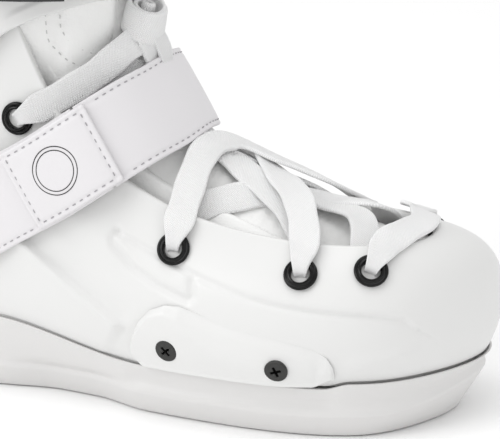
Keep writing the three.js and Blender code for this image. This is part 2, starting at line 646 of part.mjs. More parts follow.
// Middle line of the tongue's outer face: [x, z, half width, drop at its edges].
const TONGUE_LINE = [[112, 80, 13, 3], [102, 81.5, 16, 5], [88, 84.5, 20, 8], [70, 89, 22, 10], [52, 95, 24, 12],
  [33, 103.5, 25, 13], [14.5, 115.5, 25, 14], [1, 133, 23, 13], [-8, 152, 22, 13], [-11, 168, 23, 13],
  [-12, 190, 24, 11], [-9, 230, 24, 10], [-3, 276, 25, 9]];

function makeTongue() {
  const curve = new THREE.CatmullRomCurve3(TONGUE_LINE.map(([x, z]) => vec(x, 0, z)));
  const shape = new THREE.CatmullRomCurve3(TONGUE_LINE.map(([, , width, drop]) => vec(width, drop, 0)));
  return skin(22, 4, (a, b, outside) => {
    const tangent = curve.getTangent(a);
    const outward = vec(tangent.z, 0, -tangent.x).normalize();
    const { x: width, y: drop } = shape.getPoint(a);
    const side = 2 * b - 1;
    const place = curve.getPoint(a).add(vec(0, side * width, 0));
    return place.addScaledVector(outward, -drop * side * side - (outside ? 0 : TONGUE_THICK));
  });
}

// A loop of webbing behind the top of the liner, sewn on at both its ends.
function makePullLoop() {
  const thick = 2;
  const low = LINER_TOP_Z - 26;
  const high = LINER_TOP_Z - 1;
  return skin(12, 1, (a, b, outside) => {
    const inset = outside ? 0 : thick;
    const z = low + inset + (high - low - 2 * inset) * a;
    const back = cuffPoint(180, z, -SHAFT_IN).x - GAP;
    return vec(back - (12 - inset) * Math.sin(Math.PI * a) ** 0.6, 16 * (b - 0.5), z);
  });
}

// ---- lace ----
// Runs of the lace between eyelets, by hand. Each has its two ends as [side, row, over] (over 1 on top of the
// shell, 0 under it) and the points between them as [x, y, z] at the middle of the lace.
const LACE_RUNS = [
  { from: [-1, 0, 1], to: [1, 0, 1], by: [[117, -14, 85.5], [120, 3, 86], [115, 18, 85]] },
  { from: [-1, 0, 0], to: [1, 1, 0], by: [[96, -9, 88.5], [85, 8, 91]] },
  { from: [1, 0, 0], to: [-1, 1, 0], by: [[97, 9, 88.5], [88, -8, 90]] },
  { from: [-1, 1, 1], to: [1, 2, 1], by: [[71, -17, 95.5], [56, -2, 101], [40, 16, 104]] },
  { from: [1, 1, 1], to: [-1, 2, 1], by: [[70, 17, 95], [53, 3, 101.5], [34, -9, 109], [27, -20, 107]] },
  { from: [-1, 2, 0], to: [1, 3, 0], by: [[9, -17, 118], [5.2, 2, 133.5], [-12, 20, 148]] },
  { from: [1, 2, 0], to: [-1, 3, 0], by: [[9, 17, 118], [5.2, -2, 133.5], [-12, -20, 148]] },
  { from: [-1, 3, 1], to: [1, 3, 1], by: [[-14, -28, 153], [-4.5, -12, 159], [-3, 1, 160], [-4.5, 13, 159],
    [-14, 28, 153]] },
];

function eyeletAt(side, row) {
  return eyelets.find((eyelet) => eyelet.side === side && eyelet.row === row);
}

const ANKLE_ROW = EYELET_PLACES.length - 1; // here the lace leaves forwards, not straight up the wall

// How far the flat of the lace faces ahead and up, by its place along the boot as [x, share].
const LACE_FACES_AHEAD = [[-47, 0], [-30, 0.3], [-10, 0.9], [5, 0.85], [30, 0.6], [60, 0.35], [120, 0.3]];
const LACE_FACES_UP = [[-47, 0.1], [-30, 0.2], [-10, 0.3], [5, 0.5], [30, 0.8], [60, 0.95], [120, 0.95]];

// The lace at one end of a run: at the eyelet, then over or under the edge of the shell.
function laceEnd([side, row, over]) {
  const { u, point, normal } = eyeletAt(side, row);
  const ahead = row === ANKLE_ROW ? stationU(0.55) * side : 0;
  const atEyelet = point.clone().addScaledVector(normal, over ? LACE_OVER : -LACE_UNDER);
  const atEdge = offWall(u + ahead, 1, over ? LACE_OVER - 0.8 : -LACE_UNDER);
  return [atEyelet, atEdge];
}

function laceRun({ from, to, by }) {
  const points = [...laceEnd(from), ...by.map((p) => vec(...p)), ...laceEnd(to).reverse()];
  const curve = new THREE.CatmullRomCurve3(points);
  const steps = 13;
  const rings = [];
  for (let i = 0; i <= steps; i += 1) {
    const share = i / steps;
    const place = curve.getPointAt(share);
    const tangent = curve.getTangentAt(share);
    const outward = vec(blendBy(place.x, LACE_FACES_AHEAD), place.y / 28, blendBy(place.x, LACE_FACES_UP));
    const across = vec(0, 0, 0).crossVectors(tangent, outward).normalize();
    const up = vec(0, 0, 0).crossVectors(across, tangent).normalize();
    const open = Math.min(1, 5 * Math.min(share, 1 - share) + 0.4);
    rings.push([[-1, -1], [1, -1], [1, 1], [-1, 1]].map(([a, b]) => place.clone()
      .addScaledVector(across, a * LACE_WIDTH * open / 2).addScaledVector(up, b * LACE_THICK / 2)));
  }
  return ringSolid(rings);
}

function makeLace() {
  const links = eyelets.map(({ point, normal }) => {
    const middle = point.clone().addScaledVector(normal, (LACE_OVER - LACE_UNDER) / 2);
    return stand(rod(LACE_CORE_R, LACE_OVER + LACE_UNDER + 1, 6), middle, normal);
  });
  const knot = stand(new THREE.SphereGeometry(5.5, 8, 6), vec(-1, 1, 160), vec(1, 0, 0.3));
  return [...LACE_RUNS.map(laceRun), ...links, knot].reduce((whole, piece) => whole.add(piece));
}

// ---- assembly ----
const boot = new THREE.Group();
boot.add(whitePlastic('shell', makeShell()));
boot.add(solePlastic('sole_plate', makeSolePlate()));
boot.add(darkSteel('frame_nut_front', makeFrameNut(FRAME_BOLT_SPACING / 2)));
boot.add(darkSteel('frame_nut_rear', makeFrameNut(-FRAME_BOLT_SPACING / 2)));
boot.add(whitePlastic('side_plate_outer', makeSidePlate(2.62, 5.05)));
boot.add(whitePlastic('side_plate_inner', makeSidePlate(19.0, 16.95)));
plateScrews.forEach((screw) => boot.add(darkSteel(screw.name, makePlateScrew(screw))));
eyelets.forEach((eyelet) => boot.add(blackGloss(eyelet.name, makeEyelet(eyelet))));
boot.add(whitePlastic('cuff', makeCuff()));
for (const [side, sideName] of SIDES) {
  boot.add(darkSteel(`pivot_bolt_${sideName}`, makePivotBolt(side)));
  boot.add(darkSteel(`pivot_nut_${sideName}`, makePivotNut(side)));
}
boot.add(blackGloss('buckle_base', makeBuckleBase()));
boot.add(blackGloss('buckle_lever', makeBuckleLever()));
boot.add(darkSteel('buckle_pin', pinRod(BUCKLE_PIN_R, BUCKLE_HEIGHT)));
boot.add(blackGloss('ladder_strap', makeLadder()));
boot.add(darkSteel('ladder_rivet', makeLadderRivet()));
const bandHoles = STRAP_RIVETS.map(strapRivetHole);
boot.add(whiteLeather('strap_anchor_band', strapSkin(0, PATCH_TO - 0.03, 0, STRAP_THICK, 14)
  .subtract(bandHoles[0])));
boot.add(whiteLeather('strap_instep_band', strapSkin(PATCH_TO + 0.004, 1, 0, STRAP_THICK, 30)
  .subtract(bandHoles[1])));
boot.add(whiteLeather('strap_end_patch', strapSkin(PATCH_FROM, PATCH_TO, PATCH_LOW, PATCH_LOW + PATCH_THICK, 8)));
boot.add(darkSteel('strap_rivet_outer', makeStrapRivet(STRAP_RIVETS[0])));
boot.add(darkSteel('strap_rivet_inner', makeStrapRivet(STRAP_RIVETS[1])));
boot.add(greyFoam('shock_pad', makePad()));
boot.add(whiteTextile('liner_foot', makeLinerFoot()));
boot.add(whiteTextile('liner_shaft', makeLinerShaft()));
boot.add(greyFoam('insole', makeInsole()));
boot.add(whiteTextile('tongue', makeTongue()));
boot.add(whiteTextile('pull_loop', makePullLoop()));
boot.add(whiteTextile('lace', makeLace()));

export default boot;
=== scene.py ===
# Street skate boot: a hard shell boot on its sole plate, without frame or wheels. It is a right boot.
# +X points to the toe, +Z up, +Y to the inner side of the foot. Shapes are worked out in millimetres.

import math

import bmesh
import bpy
import numpy as np
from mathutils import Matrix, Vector


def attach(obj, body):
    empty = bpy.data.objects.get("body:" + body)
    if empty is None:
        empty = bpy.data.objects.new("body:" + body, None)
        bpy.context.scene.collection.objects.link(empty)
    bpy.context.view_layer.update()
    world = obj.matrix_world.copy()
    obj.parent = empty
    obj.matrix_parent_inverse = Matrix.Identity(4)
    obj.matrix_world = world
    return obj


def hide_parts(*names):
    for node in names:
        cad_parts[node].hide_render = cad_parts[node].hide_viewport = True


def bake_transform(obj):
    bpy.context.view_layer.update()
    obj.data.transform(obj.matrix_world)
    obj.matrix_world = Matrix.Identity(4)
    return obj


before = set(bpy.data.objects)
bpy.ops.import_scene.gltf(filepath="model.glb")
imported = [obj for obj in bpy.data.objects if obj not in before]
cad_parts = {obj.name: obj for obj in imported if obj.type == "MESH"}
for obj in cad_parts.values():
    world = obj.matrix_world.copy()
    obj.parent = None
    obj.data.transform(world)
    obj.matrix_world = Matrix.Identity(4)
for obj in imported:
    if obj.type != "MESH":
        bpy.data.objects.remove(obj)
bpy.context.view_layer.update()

# ---- camera ----
# A long lens on the outer side of the boot, a little above it and turned towards the toe.
MM = 0.001
LOOK_AT = Vector((0.0425, 0.0, 0.078))
CAMERA_AWAY = 1.15
azimuth, elevation = math.radians(22), math.radians(17)
toward = Vector((math.cos(elevation) * math.sin(azimuth), -math.cos(elevation) * math.cos(azimuth),
                 math.sin(elevation)))
lens = bpy.data.cameras.new("camera")
lens.sensor_width = 36
lens.lens = 192.96
camera = bpy.data.objects.new("camera", lens)
camera.location = LOOK_AT + toward * CAMERA_AWAY
camera.rotation_euler = (-toward).to_track_quat("-Z", "Y").to_euler()
bpy.context.scene.collection.objects.link(camera)
bpy.context.scene.camera = camera


# ---- studio ----
# A pale floor and soft light: one large lamp from the left and above, a weaker one overhead, a faint one
# ahead of the toe, and a pale room all round.
def linear(colour):
    values = [int(colour[i:i + 2], 16) / 255 for i in (1, 3, 5)]
    return [c / 12.92 if c <= 0.04045 else ((c + 0.055) / 1.055) ** 2.4 for c in values] + [1.0]


def node(tree, kind, inputs=None, **settings):
    made = tree.nodes.new(kind)
    for key, value in settings.items():
        setattr(made, key, value)
    for key, value in (inputs or {}).items():
        if isinstance(value, bpy.types.NodeSocket):
            tree.links.new(value, made.inputs[key])
        else:
            made.inputs[key].default_value = value
    return made


def material(name, colour, roughness, sockets=None):
    made = bpy.data.materials.new(name)
    made.use_nodes = True
    shader = made.node_tree.nodes["Principled BSDF"]
    shader.inputs["Base Color"].default_value = linear(colour)
    shader.inputs["Roughness"].default_value = roughness
    for key, value in (sockets or {}).items():
        shader.inputs[key].default_value = value
    made.diffuse_color = linear(colour)
    return made


def new_object(name, data):
    made = bpy.data.objects.new(name, data)
    bpy.context.scene.collection.objects.link(made)
    return made


# A bump on a material from a height, and one from a texture laid in the piece's own space.
def bumped(finish, height, strength, distance):
    tree = finish.node_tree
    bump = node(tree, "ShaderNodeBump", {"Height": height, "Strength": strength, "Distance": distance})
    tree.links.new(bump.outputs[0], tree.nodes["Principled BSDF"].inputs["Normal"])


def grained(finish, kind, sockets, strength, distance):
    place = node(finish.node_tree, "ShaderNodeTexCoord").outputs["Object"]
    grain = node(finish.node_tree, kind, {"Vector": place, **sockets})
    bumped(finish, grain.outputs[0], strength, distance)


def lamp(name, place, aim, size, watts):
    light = bpy.data.lights.new(name, "AREA")
    light.shape = "RECTANGLE"
    light.size, light.size_y = size
    light.energy = watts
    made = new_object(name, light)
    made.location = place
    made.rotation_euler = (Vector(aim) - Vector(place)).to_track_quat("-Z", "Y").to_euler()


lamp("key_lamp", (-1.3, -1.5, 1.3), (0, 0, 0.08), (1.3, 1.1), 15)
lamp("top_lamp", (0.0, -0.3, 1.9), (0, 0, 0.08), (1.2, 0.8), 7)
lamp("toe_lamp", (1.6, -1.1, 0.5), (0.05, 0, 0.08), (0.8, 0.8), 0.6)
room = bpy.data.worlds.new("room")
room.use_nodes = True
room.node_tree.nodes["Background"].inputs["Color"].default_value = linear("#fbfbfb")
room.node_tree.nodes["Background"].inputs["Strength"].default_value = 0.86
bpy.context.scene.world = room
bpy.context.scene.view_settings.view_transform = "Standard"

# Matt paper, so the floor shows only the soft shadow of the boot.
floor_finish = material("matt_white_paper", "#fdfdfd", 0.9)
bpy.ops.mesh.primitive_plane_add(size=9, location=(0, 0, -0.0004))
floor = bpy.context.object
floor.name = "floor"
floor.data.materials.append(floor_finish)

# ---- shell ----
# The hard shell of the boot, injection moulded in white nylon: satin, slightly uneven, with moulded ribs and
# grooves on both sides. Its wall is given by stations round the boot from the toe along the outer side to the
# heel and back: foot of the wall x y, widest point x y z, top edge x y z, fullness, lean in, lean up.
STATIONS = np.array([
    [145, 21, 154, 24, 50, 128, 7, 82, 0.6, 0.66, 0.14],
    [137, -8, 144, -9, 50, 125, -12, 81, 0.6, 0.64, 0.16],
    [115, -34, 122, -39, 49, 112, -25, 81, 0.58, 0.54, 0.2],
    [86, -45, 89, -51, 47, 86, -33, 80, 0.55, 0.42, 0.26],
    [50, -47, 50, -54, 46, 50, -36, 83, 0.5, 0.34, 0.28],
    [10, -44, 10, -50, 48, 14, -38, 91, 0.45, 0.3, 0.3],
    [-30, -38, -30, -46, 52, -21, -39, 115, 0.4, 0.15, 0.3],
    [-66, -37, -66, -43.5, 58, -40, -38.5, 142, 0.4, 0.1, 0.3],
    [-96, -37, -98, -42.5, 60, -56, -38.5, 188, 0.4, 0.05, 0.3],
    [-126, -32, -130, -36, 60, -94, -39, 160, 0.4, 0.04, 0.3],
    [-148, -18, -153, -20, 60, -123, -24, 148, 0.4, 0.06, 0.3],
    [-152, 4, -158, 3, 60, -136, 2, 143, 0.4, 0.08, 0.3],
    [-142, 25, -147, 27, 60, -119, 27, 148, 0.4, 0.06, 0.3],
    [-114, 34, -117, 38.5, 60, -88, 39.5, 160, 0.4, 0.04, 0.3],
    [-84, 34, -85, 40, 60, -55, 38.5, 187, 0.4, 0.05, 0.3],
    [-50, 33, -50, 39.5, 57, -37, 38.5, 140, 0.4, 0.1, 0.3],
    [-14, 36, -14, 42, 52, -14, 38, 110, 0.42, 0.2, 0.3],
    [22, 43, 22, 49, 48, 22, 36, 89, 0.47, 0.3, 0.3],
    [60, 49, 60, 55, 47, 58, 35, 83, 0.52, 0.38, 0.27],
    [94, 51, 97, 57, 48, 88, 32, 81, 0.56, 0.45, 0.24],
    [127, 46, 135, 51, 49, 112, 24, 82, 0.58, 0.6, 0.18],
])
SHELL_WALL = 3.5
SHELL_BASE_Z = 22
WIDEST_V = 0.35
WALL_BULGE = 0.45
# Points on the outline of the moulded leaf and of the long crease ahead of it, as x and z.
CREASE = [[0, 80], [4, 78.5], [10.4, 76], [22.8, 71.5], [38.8, 66], [62.5, 60.2], [77, 58.5], [98, 57],
          [116, 55.6], [124, 53.6], [127.5, 49.5]]
LEAF_LOW = [[0, 80], [-1.6, 77.6], [-0.8, 75], [8.6, 66.5], [20.6, 60.6], [35, 56.4], [37, 58.5], [36, 64]]
HEEL_RIB = [[-60, 80.5], [-43, 69.5], [-26, 58.7], [-9, 47.9], [5.5, 38.5]]
LOW_RIB = [[100, 33.4], [112, 35], [122, 37.4], [130, 41.5]]
SIDE_SWELL = [[-32, 92], [-17, 83], [-3, 75.5]]


def station_at(u):
    count = len(STATIONS)
    s = (np.asarray(u, float) % 1) * count
    base = np.floor(s).astype(int)
    t = (s - base)[..., None]
    weights = [(1 - t) ** 3, 3 * t ** 3 - 6 * t ** 2 + 4, -3 * t ** 3 + 3 * t ** 2 + 3 * t + 1, t ** 3]
    return sum(w / 6 * STATIONS[(base - 1 + k) % count] for k, w in enumerate(weights))


def wall(u, v):
    u, v = np.broadcast_arrays(np.asarray(u, float), np.asarray(v, float))
    bx, by, px, py, pz, tx, ty, tz, full, lean, steep = np.moveaxis(station_at(u), -1, 0)
    t = np.clip(v / WIDEST_V, 0, 1)
    out = 2 * t * (1 - t) + t * t
    rise = 2 * WALL_BULGE * t * (1 - t) + t * t
    low = np.stack([bx + (px - bx) * out, by + (py - by) * out,
                    SHELL_BASE_Z + (pz - SHELL_BASE_Z) * rise], -1)
    t = np.clip((v - WIDEST_V) / (1 - WIDEST_V), 0, 1)
    b = [(1 - t) ** 3, 3 * t * (1 - t) ** 2, 3 * t * t * (1 - t), t ** 3]
    rise = tz - pz
    high = np.stack([px * (b[0] + b[1]) + (tx + lean * (px - tx)) * b[2] + tx * b[3],
                     py * (b[0] + b[1]) + (ty + lean * (py - ty)) * b[2] + ty * b[3],
                     pz * b[0] + (pz + full * rise) * b[1] + (tz - steep * rise) * b[2] + tz * b[3]], -1)
    return np.where((v <= WIDEST_V)[..., None], low, high)


def unit(vectors):
    return vectors / np.maximum(np.linalg.norm(vectors, axis=-1, keepdims=True), 1e-9)


def wall_normal(u, v):
    u, v = np.broadcast_arrays(np.asarray(u, float), np.asarray(v, float))
    step = 0.004
    along = wall(u + step, v) - wall(u - step, v)
    up = wall(u, np.minimum(1, v + step)) - wall(u, np.maximum(0, v - step))
    return unit(np.cross(up, along))


def off_wall(u, v, distance):
    return wall(u, v) + wall_normal(u, v) * np.asarray(distance, float)[..., None]


def v_at_height(u, z):
    rise = station_at(u)[..., 4] - SHELL_BASE_Z
    share = np.clip((z - SHELL_BASE_Z) / rise, 0, 1)
    bend = 1 - 2 * WALL_BULGE
    return WIDEST_V * ((-2 * WALL_BULGE + np.sqrt(4 * WALL_BULGE ** 2 + 4 * bend * share)) / (2 * bend))


def on_wall(x, z, side):
    u, v = np.meshgrid(np.arange(1680) / 1680, np.linspace(0, 1, 401), indexing="ij")
    p = wall(u, v)
    gap = np.hypot(p[..., 0] - x, p[..., 2] - z) + np.where(p[..., 1] * side > 0, 0, 1e3)
    found = np.unravel_index(np.argmin(gap), gap.shape)
    return u[found], v[found]


# Distance from points x, z to a line of points, how far along it in mm, and which side (above is positive).
def from_line(x, z, line):
    best = np.full(np.shape(x), 1e9)
    along = np.zeros(np.shape(x))
    side = np.zeros(np.shape(x))
    run = 0.0
    for (x0, z0), (x1, z1) in zip(line, line[1:]):
        dx, dz = x1 - x0, z1 - z0
        length = math.hypot(dx, dz)
        t = np.clip(((x - x0) * dx + (z - z0) * dz) / length ** 2, 0, 1)
        gap = np.hypot(x - x0 - t * dx, z - z0 - t * dz)
        nearer = gap < best
        best = np.where(nearer, gap, best)
        along = np.where(nearer, run + t * length, along)
        side = np.where(nearer, np.sign(dx * (z - z0) - dz * (x - x0)), side)
        run += length
    return best, along, side, run


def smoothstep(x, low, high):
    t = np.clip((x - low) / (high - low), 0, 1)
    return t * t * (3 - 2 * t)


def moulded_relief(p):
    x, z = p[..., 0], p[..., 2]
    gap, along, side, length = from_line(x, z, HEEL_RIB)
    above = gap * np.maximum(side, 0)
    below = gap * np.maximum(-side, 0)
    rib = 2.9 * np.where(side > 0, np.exp(-(above / 2.0) ** 2), np.exp(-below / 9))
    rib -= 0.9 * np.exp(-((above - 6) / 5) ** 2) * (side > 0)
    raised = rib * smoothstep(along, 0.01, 8) * smoothstep(length - along, 0.01, 6)
    gap, along, side, length = from_line(x, z, CREASE)
    fade = smoothstep(length - along, 0.01, 22) * 0.75 + 0.25 * smoothstep(length - along, 0.01, 3)
    raised -= 0.9 * np.exp(-(gap / 1.4) ** 2) * fade
    reach = smoothstep(along, 42, 95) * smoothstep(x, 142, 126)
    raised -= 1.05 * np.exp(-gap / 13) * smoothstep(-side * gap, -1.1, 1.1) * reach
    gap, along, side, length = from_line(x, z, LEAF_LOW)
    raised -= 1.35 * np.exp(-(gap / 1.8) ** 2)
    gap, along, side, length = from_line(x, z, LOW_RIB)
    ends = smoothstep(along, 0.01, 9) * smoothstep(length - along, 0.01, 9)
    raised += 0.9 * np.exp(-(gap / 4) ** 2) * ends
    gap, along, side, length = from_line(x, z, SIDE_SWELL)
    raised += 1.2 * np.exp(-(gap / 8) ** 2)
    return raised


def piece(name, points, faces, finish, sharp=40):
    mesh = bpy.data.meshes.new(name)
    mesh.from_pydata((np.reshape(points, (-1, 3)) * MM).tolist(), [], [list(map(int, f)) for f in faces])
    mesh.validate()
    mesh.shade_smooth()
    mesh.set_sharp_from_angle(angle=math.radians(sharp))
    mesh.materials.append(finish)
    return new_object(name, mesh)


# Turns every face outwards on a closed mesh and joins points that lie on each other.
def tidy_faces(made):
    work = bmesh.new()
    work.from_mesh(made.data)
    bmesh.ops.remove_doubles(work, verts=work.verts, dist=1e-6)
    bmesh.ops.recalc_face_normals(work, faces=work.faces)
    work.to_mesh(made.data)
    work.free()
    made.data.shade_smooth()


# Faces of rows of points: rows go up, columns go round; closed joins the last column to the first.
def grid_faces(rows, columns, closed=True, start=0):
    r, c = np.meshgrid(np.arange(rows - 1), np.arange(columns if closed else columns - 1), indexing="ij")
    a = start + r * columns + c
    b = start + r * columns + (c + 1) % columns
    return np.stack([a, b, b + columns, a + columns], -1).reshape(-1, 4)


# A closed skin through rings, with a fan over the first and the last one.
def ring_solid(name, rings, finish, body, replaced, sharp=40):
    rings = np.asarray(rings, float)
    rows, columns = rings.shape[:2]
    points = np.concatenate([rings.reshape(-1, 3), [rings[0].mean(0), rings[-1].mean(0)]])
    faces = grid_faces(rows, columns).tolist()
    last = (rows - 1) * columns
    for i in range(columns):
        j = (i + 1) % columns
        faces.append([j, i, rows * columns])
        faces.append([last + i, last + j, rows * columns + 1])
    made = piece(name, points, faces, finish, sharp)
    tidy_faces(made)
    made.data.set_sharp_from_angle(angle=math.radians(sharp))
    return settle(made, body, replaced) if body else made


# A piece rides on one body; one that lies between the boot and the cuff rides on neither, its place worked
# into its mesh.
def settle(made, body, replaced):
    if body == "boot to cuff":
        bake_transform(made)
    else:
        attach(made, body)
    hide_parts(*replaced)
    return made


# Satin white nylon: soft broad highlights and a faint unevenness from the mould.
white_nylon = material("moulded_white_nylon", "#e0e0df", 0.36, {"IOR": 1.53})
grained(white_nylon, "ShaderNodeTexNoise", {"Scale": 420.0, "Detail": 2.0}, 0.05, 0.0003)

spans = [(0, 1.3, 44), (1.3, 6.9, 230), (6.9, 14.1, 96), (14.1, 19.8, 200), (19.8, 21, 40)]
shell_u = np.concatenate([np.linspace(a, b, n, endpoint=False) for a, b, n in spans]) / len(STATIONS)


# Height of the rim of the sole plate; over it the shell steps in a little, which leaves a narrow groove.
def rim_height(x):
    return (SHELL_BASE_Z + 0.7 + 12.5 * smoothstep(-x, -12, 62) + 2.6 * smoothstep(x, 92, 102)
            + 1.2 * smoothstep(x, 110, 145))


GROOVE_HEIGHT = 0.9
GROOVE_AT_HEEL, GROOVE_AT_TOE = 0.5, 1.6
groove_x = wall(shell_u, 0)[:, 0]
groove_v = v_at_height(shell_u, rim_height(groove_x) + GROOVE_HEIGHT)
low_v = groove_v * np.append(np.linspace(0, 0.99, 12), 0.992)[:, None]
outside_v = np.concatenate([low_v, groove_v + (1 - groove_v) * np.linspace(0, 1, 118)[:, None]])
groove = np.zeros(outside_v.shape)
groove[:len(low_v)] = GROOVE_AT_HEEL + (GROOVE_AT_TOE - GROOVE_AT_HEEL) * smoothstep(groove_x, 60, 98)
grid_u, grid_v = np.broadcast_arrays(shell_u, outside_v)
skin_out = off_wall(grid_u, grid_v, moulded_relief(wall(grid_u, grid_v)) - groove)
top_edge = off_wall(shell_u, 1, 0 * shell_u)
upward = unit(wall(shell_u, 1) - wall(shell_u, 0.97))
inward = -wall_normal(shell_u, 1)
lip = [top_edge + inward * SHELL_WALL / 2 * (1 - math.cos(a)) + upward * 1.5 * math.sin(a)
       for a in np.linspace(0, math.pi, 9)[1:-1]]
skin_in = [off_wall(shell_u, v, 0 * shell_u - SHELL_WALL) for v in np.linspace(1, 0.26, 14)]


# A level ring a given distance out from the foot of the wall, or in from it where that is negative.
def plan_ring(u, out, z):
    ring = wall(u, 0) + unit(wall_normal(u, 0) * [1, 1, 0]) * np.reshape(out, (-1, 1))
    ring[:, 2] = z
    return ring


SHELL_FLOOR = 4
shell_floor = plan_ring(shell_u, -SHELL_WALL, SHELL_BASE_Z + SHELL_FLOOR)
shell_rings = np.concatenate([skin_out, lip, skin_in, [shell_floor]])
ring_solid("moulded_shell", shell_rings, white_nylon, "boot", ["shell"], 55)

# ---- sole plate ----
# The plate that carries the frame, moulded in a slightly greyer, harder nylon: a tray round the foot of the
# shell with a rounded ridge along its sides, a scoop in the waist and a chamfer under the toe. Its flat
# underside has the two bores for the frame bolts.
GAP = 0.35
TRAY_WALL = 2.2
FRAME_BOLT_SPACING = 165
FRAME_BOLT_R = 3.2
RIDGE_Z = 11


# Corners of a section, each a ring of points, eased by an arc that starts a given length from the corner.
def eased_section(corners, radii, steps=5):
    rows = [corners[0]]
    for before, corner, after, radius in zip(corners, corners[1:], corners[2:], radii):
        back, ahead = before - corner, after - corner
        back_length = np.linalg.norm(back, axis=-1, keepdims=True)
        ahead_length = np.linalg.norm(ahead, axis=-1, keepdims=True)
        start = corner + back / np.maximum(back_length, 1e-6) * np.minimum(radius, back_length * 0.48)
        end = corner + ahead / np.maximum(ahead_length, 1e-6) * np.minimum(radius, ahead_length * 0.48)
        for t in np.linspace(0, 1, steps):
            rows.append(start * (1 - t) ** 2 + corner * 2 * t * (1 - t) + end * t * t)
    return rows + [corners[-1]]


def rim_ring(u, distance, z):
    ring = off_wall(u, v_at_height(u, z), np.full(len(u), distance))
    ring[:, 2] = z
    return ring


# A greyer and slightly duller nylon than the shell, so the plate reads as a separate moulding.
sole_nylon = material("moulded_grey_white_nylon", "#d9d8d7", 0.42, {"IOR": 1.53})
sole_u = np.arange(560) / 560
sole_x = wall(sole_u, 0)[:, 0]
sole_y = wall(sole_u, 0)[:, 1]
scoop = smoothstep(sole_x, -66, -34) * (1 - smoothstep(sole_x, -18, 12))
toe_lift = 15 * smoothstep(sole_x, 100, 150) ** 2
rim_z = rim_height(sole_x)
under_plate = smoothstep(sole_x, 2, 9) * (1 - smoothstep(sole_x, 92, 99)) * (np.abs(sole_y) > 30)
ridge_z = RIDGE_Z + toe_lift * 0.7
ridge_out = 2.5 - 5.5 * scoop
bottom_out = -3 - 5 * scoop - 6 * smoothstep(sole_x, 105, 145)
waist_out = 1.6 - 1.2 * scoop - 1.6 * under_plate
section = [
    plan_ring(sole_u, bottom_out - 14, 0 * sole_u),
    plan_ring(sole_u, bottom_out, 0 * sole_u),
    plan_ring(sole_u, ridge_out, ridge_z - 0.6),
    plan_ring(sole_u, ridge_out - 0.6, ridge_z + 1.6),
    plan_ring(sole_u, waist_out, ridge_z + 4.6),
    rim_ring(sole_u, GAP + TRAY_WALL, rim_z),
    rim_ring(sole_u, GAP + 0.55, rim_z),
    rim_ring(sole_u, GAP + 0.55, rim_z - 1.5),
    plan_ring(sole_u, 0 * sole_u + GAP, 0 * sole_u + SHELL_BASE_Z - GAP),
]
sole_rings = eased_section(section, [1.4, 1.2, 1.2, 3, 0.7, 0.5, 0.5], 5)
sole = ring_solid("sole_plate_tray", sole_rings, sole_nylon, "boot", ["sole_plate"], 30)


# Works the modifiers of a piece into its mesh.
def baked(made):
    bpy.context.view_layer.update()
    mesh = bpy.data.meshes.new_from_object(made.evaluated_get(bpy.context.evaluated_depsgraph_get()))
    made.modifiers.clear()
    made.data = mesh
    return mesh


# Cuts bores or pockets with a plain solid, then throws that solid away.
def cut(made, tool):
    step = made.modifiers.new("cut", "BOOLEAN")
    step.object = tool
    step.solver = "EXACT"
    old = made.data
    baked(made)
    bpy.data.meshes.remove(old)
    bpy.data.objects.remove(tool)


# ---- side plates ----
# Thick moulded pads of the same white nylon as the shell, screwed over the ball of the foot on both sides.
# They stand proud of the wall, fade into it at the top and hang over the ledge of the sole plate.
PLATE_SEAT = 0.7
PLATE_THICK = 3
PLATE_FOOT_Z = 24.2
PLATE_LENGTH = 96
LEDGE_Z = 27
outer_top = [[2.66, 0.11], [2.7, 0.17], [2.78, 0.225], [2.95, 0.27], [3.3, 0.315], [3.8, 0.36],
             [4.2, 0.405], [4.45, 0.43], [4.62, 0.42], [4.8, 0.375], [4.92, 0.31], [5.0, 0.235], [5.05, 0.16],
             [5.07, 0.1]]
inner_top = [[19.0 + (s - 2.66) * (16.95 - 19.0) / (5.07 - 2.66), v] for s, v in outer_top]


# A thick sheet from rows of points on its outside and its inside, closed all round.
def folded_sheet(name, outside, inside, finish, sharp, body, replaced):
    sheet = np.concatenate([outside, inside[::-1]])
    rows, columns = sheet.shape[:2]
    last = (rows - 1) * columns
    faces = grid_faces(rows, columns, closed=False).tolist()
    faces += [[last + c, last + c + 1, c + 1, c] for c in range(columns - 1)]
    faces += [[k * columns + column for k in (r, r + 1, rows - 2 - r, rows - 1 - r)]
              for column in (0, columns - 1) for r in range(len(outside) - 1)]
    made = piece(name, sheet.reshape(-1, 3), faces, finish, sharp)
    tidy_faces(made)
    made.data.set_sharp_from_angle(angle=math.radians(sharp))
    settle(made, body, [replaced])


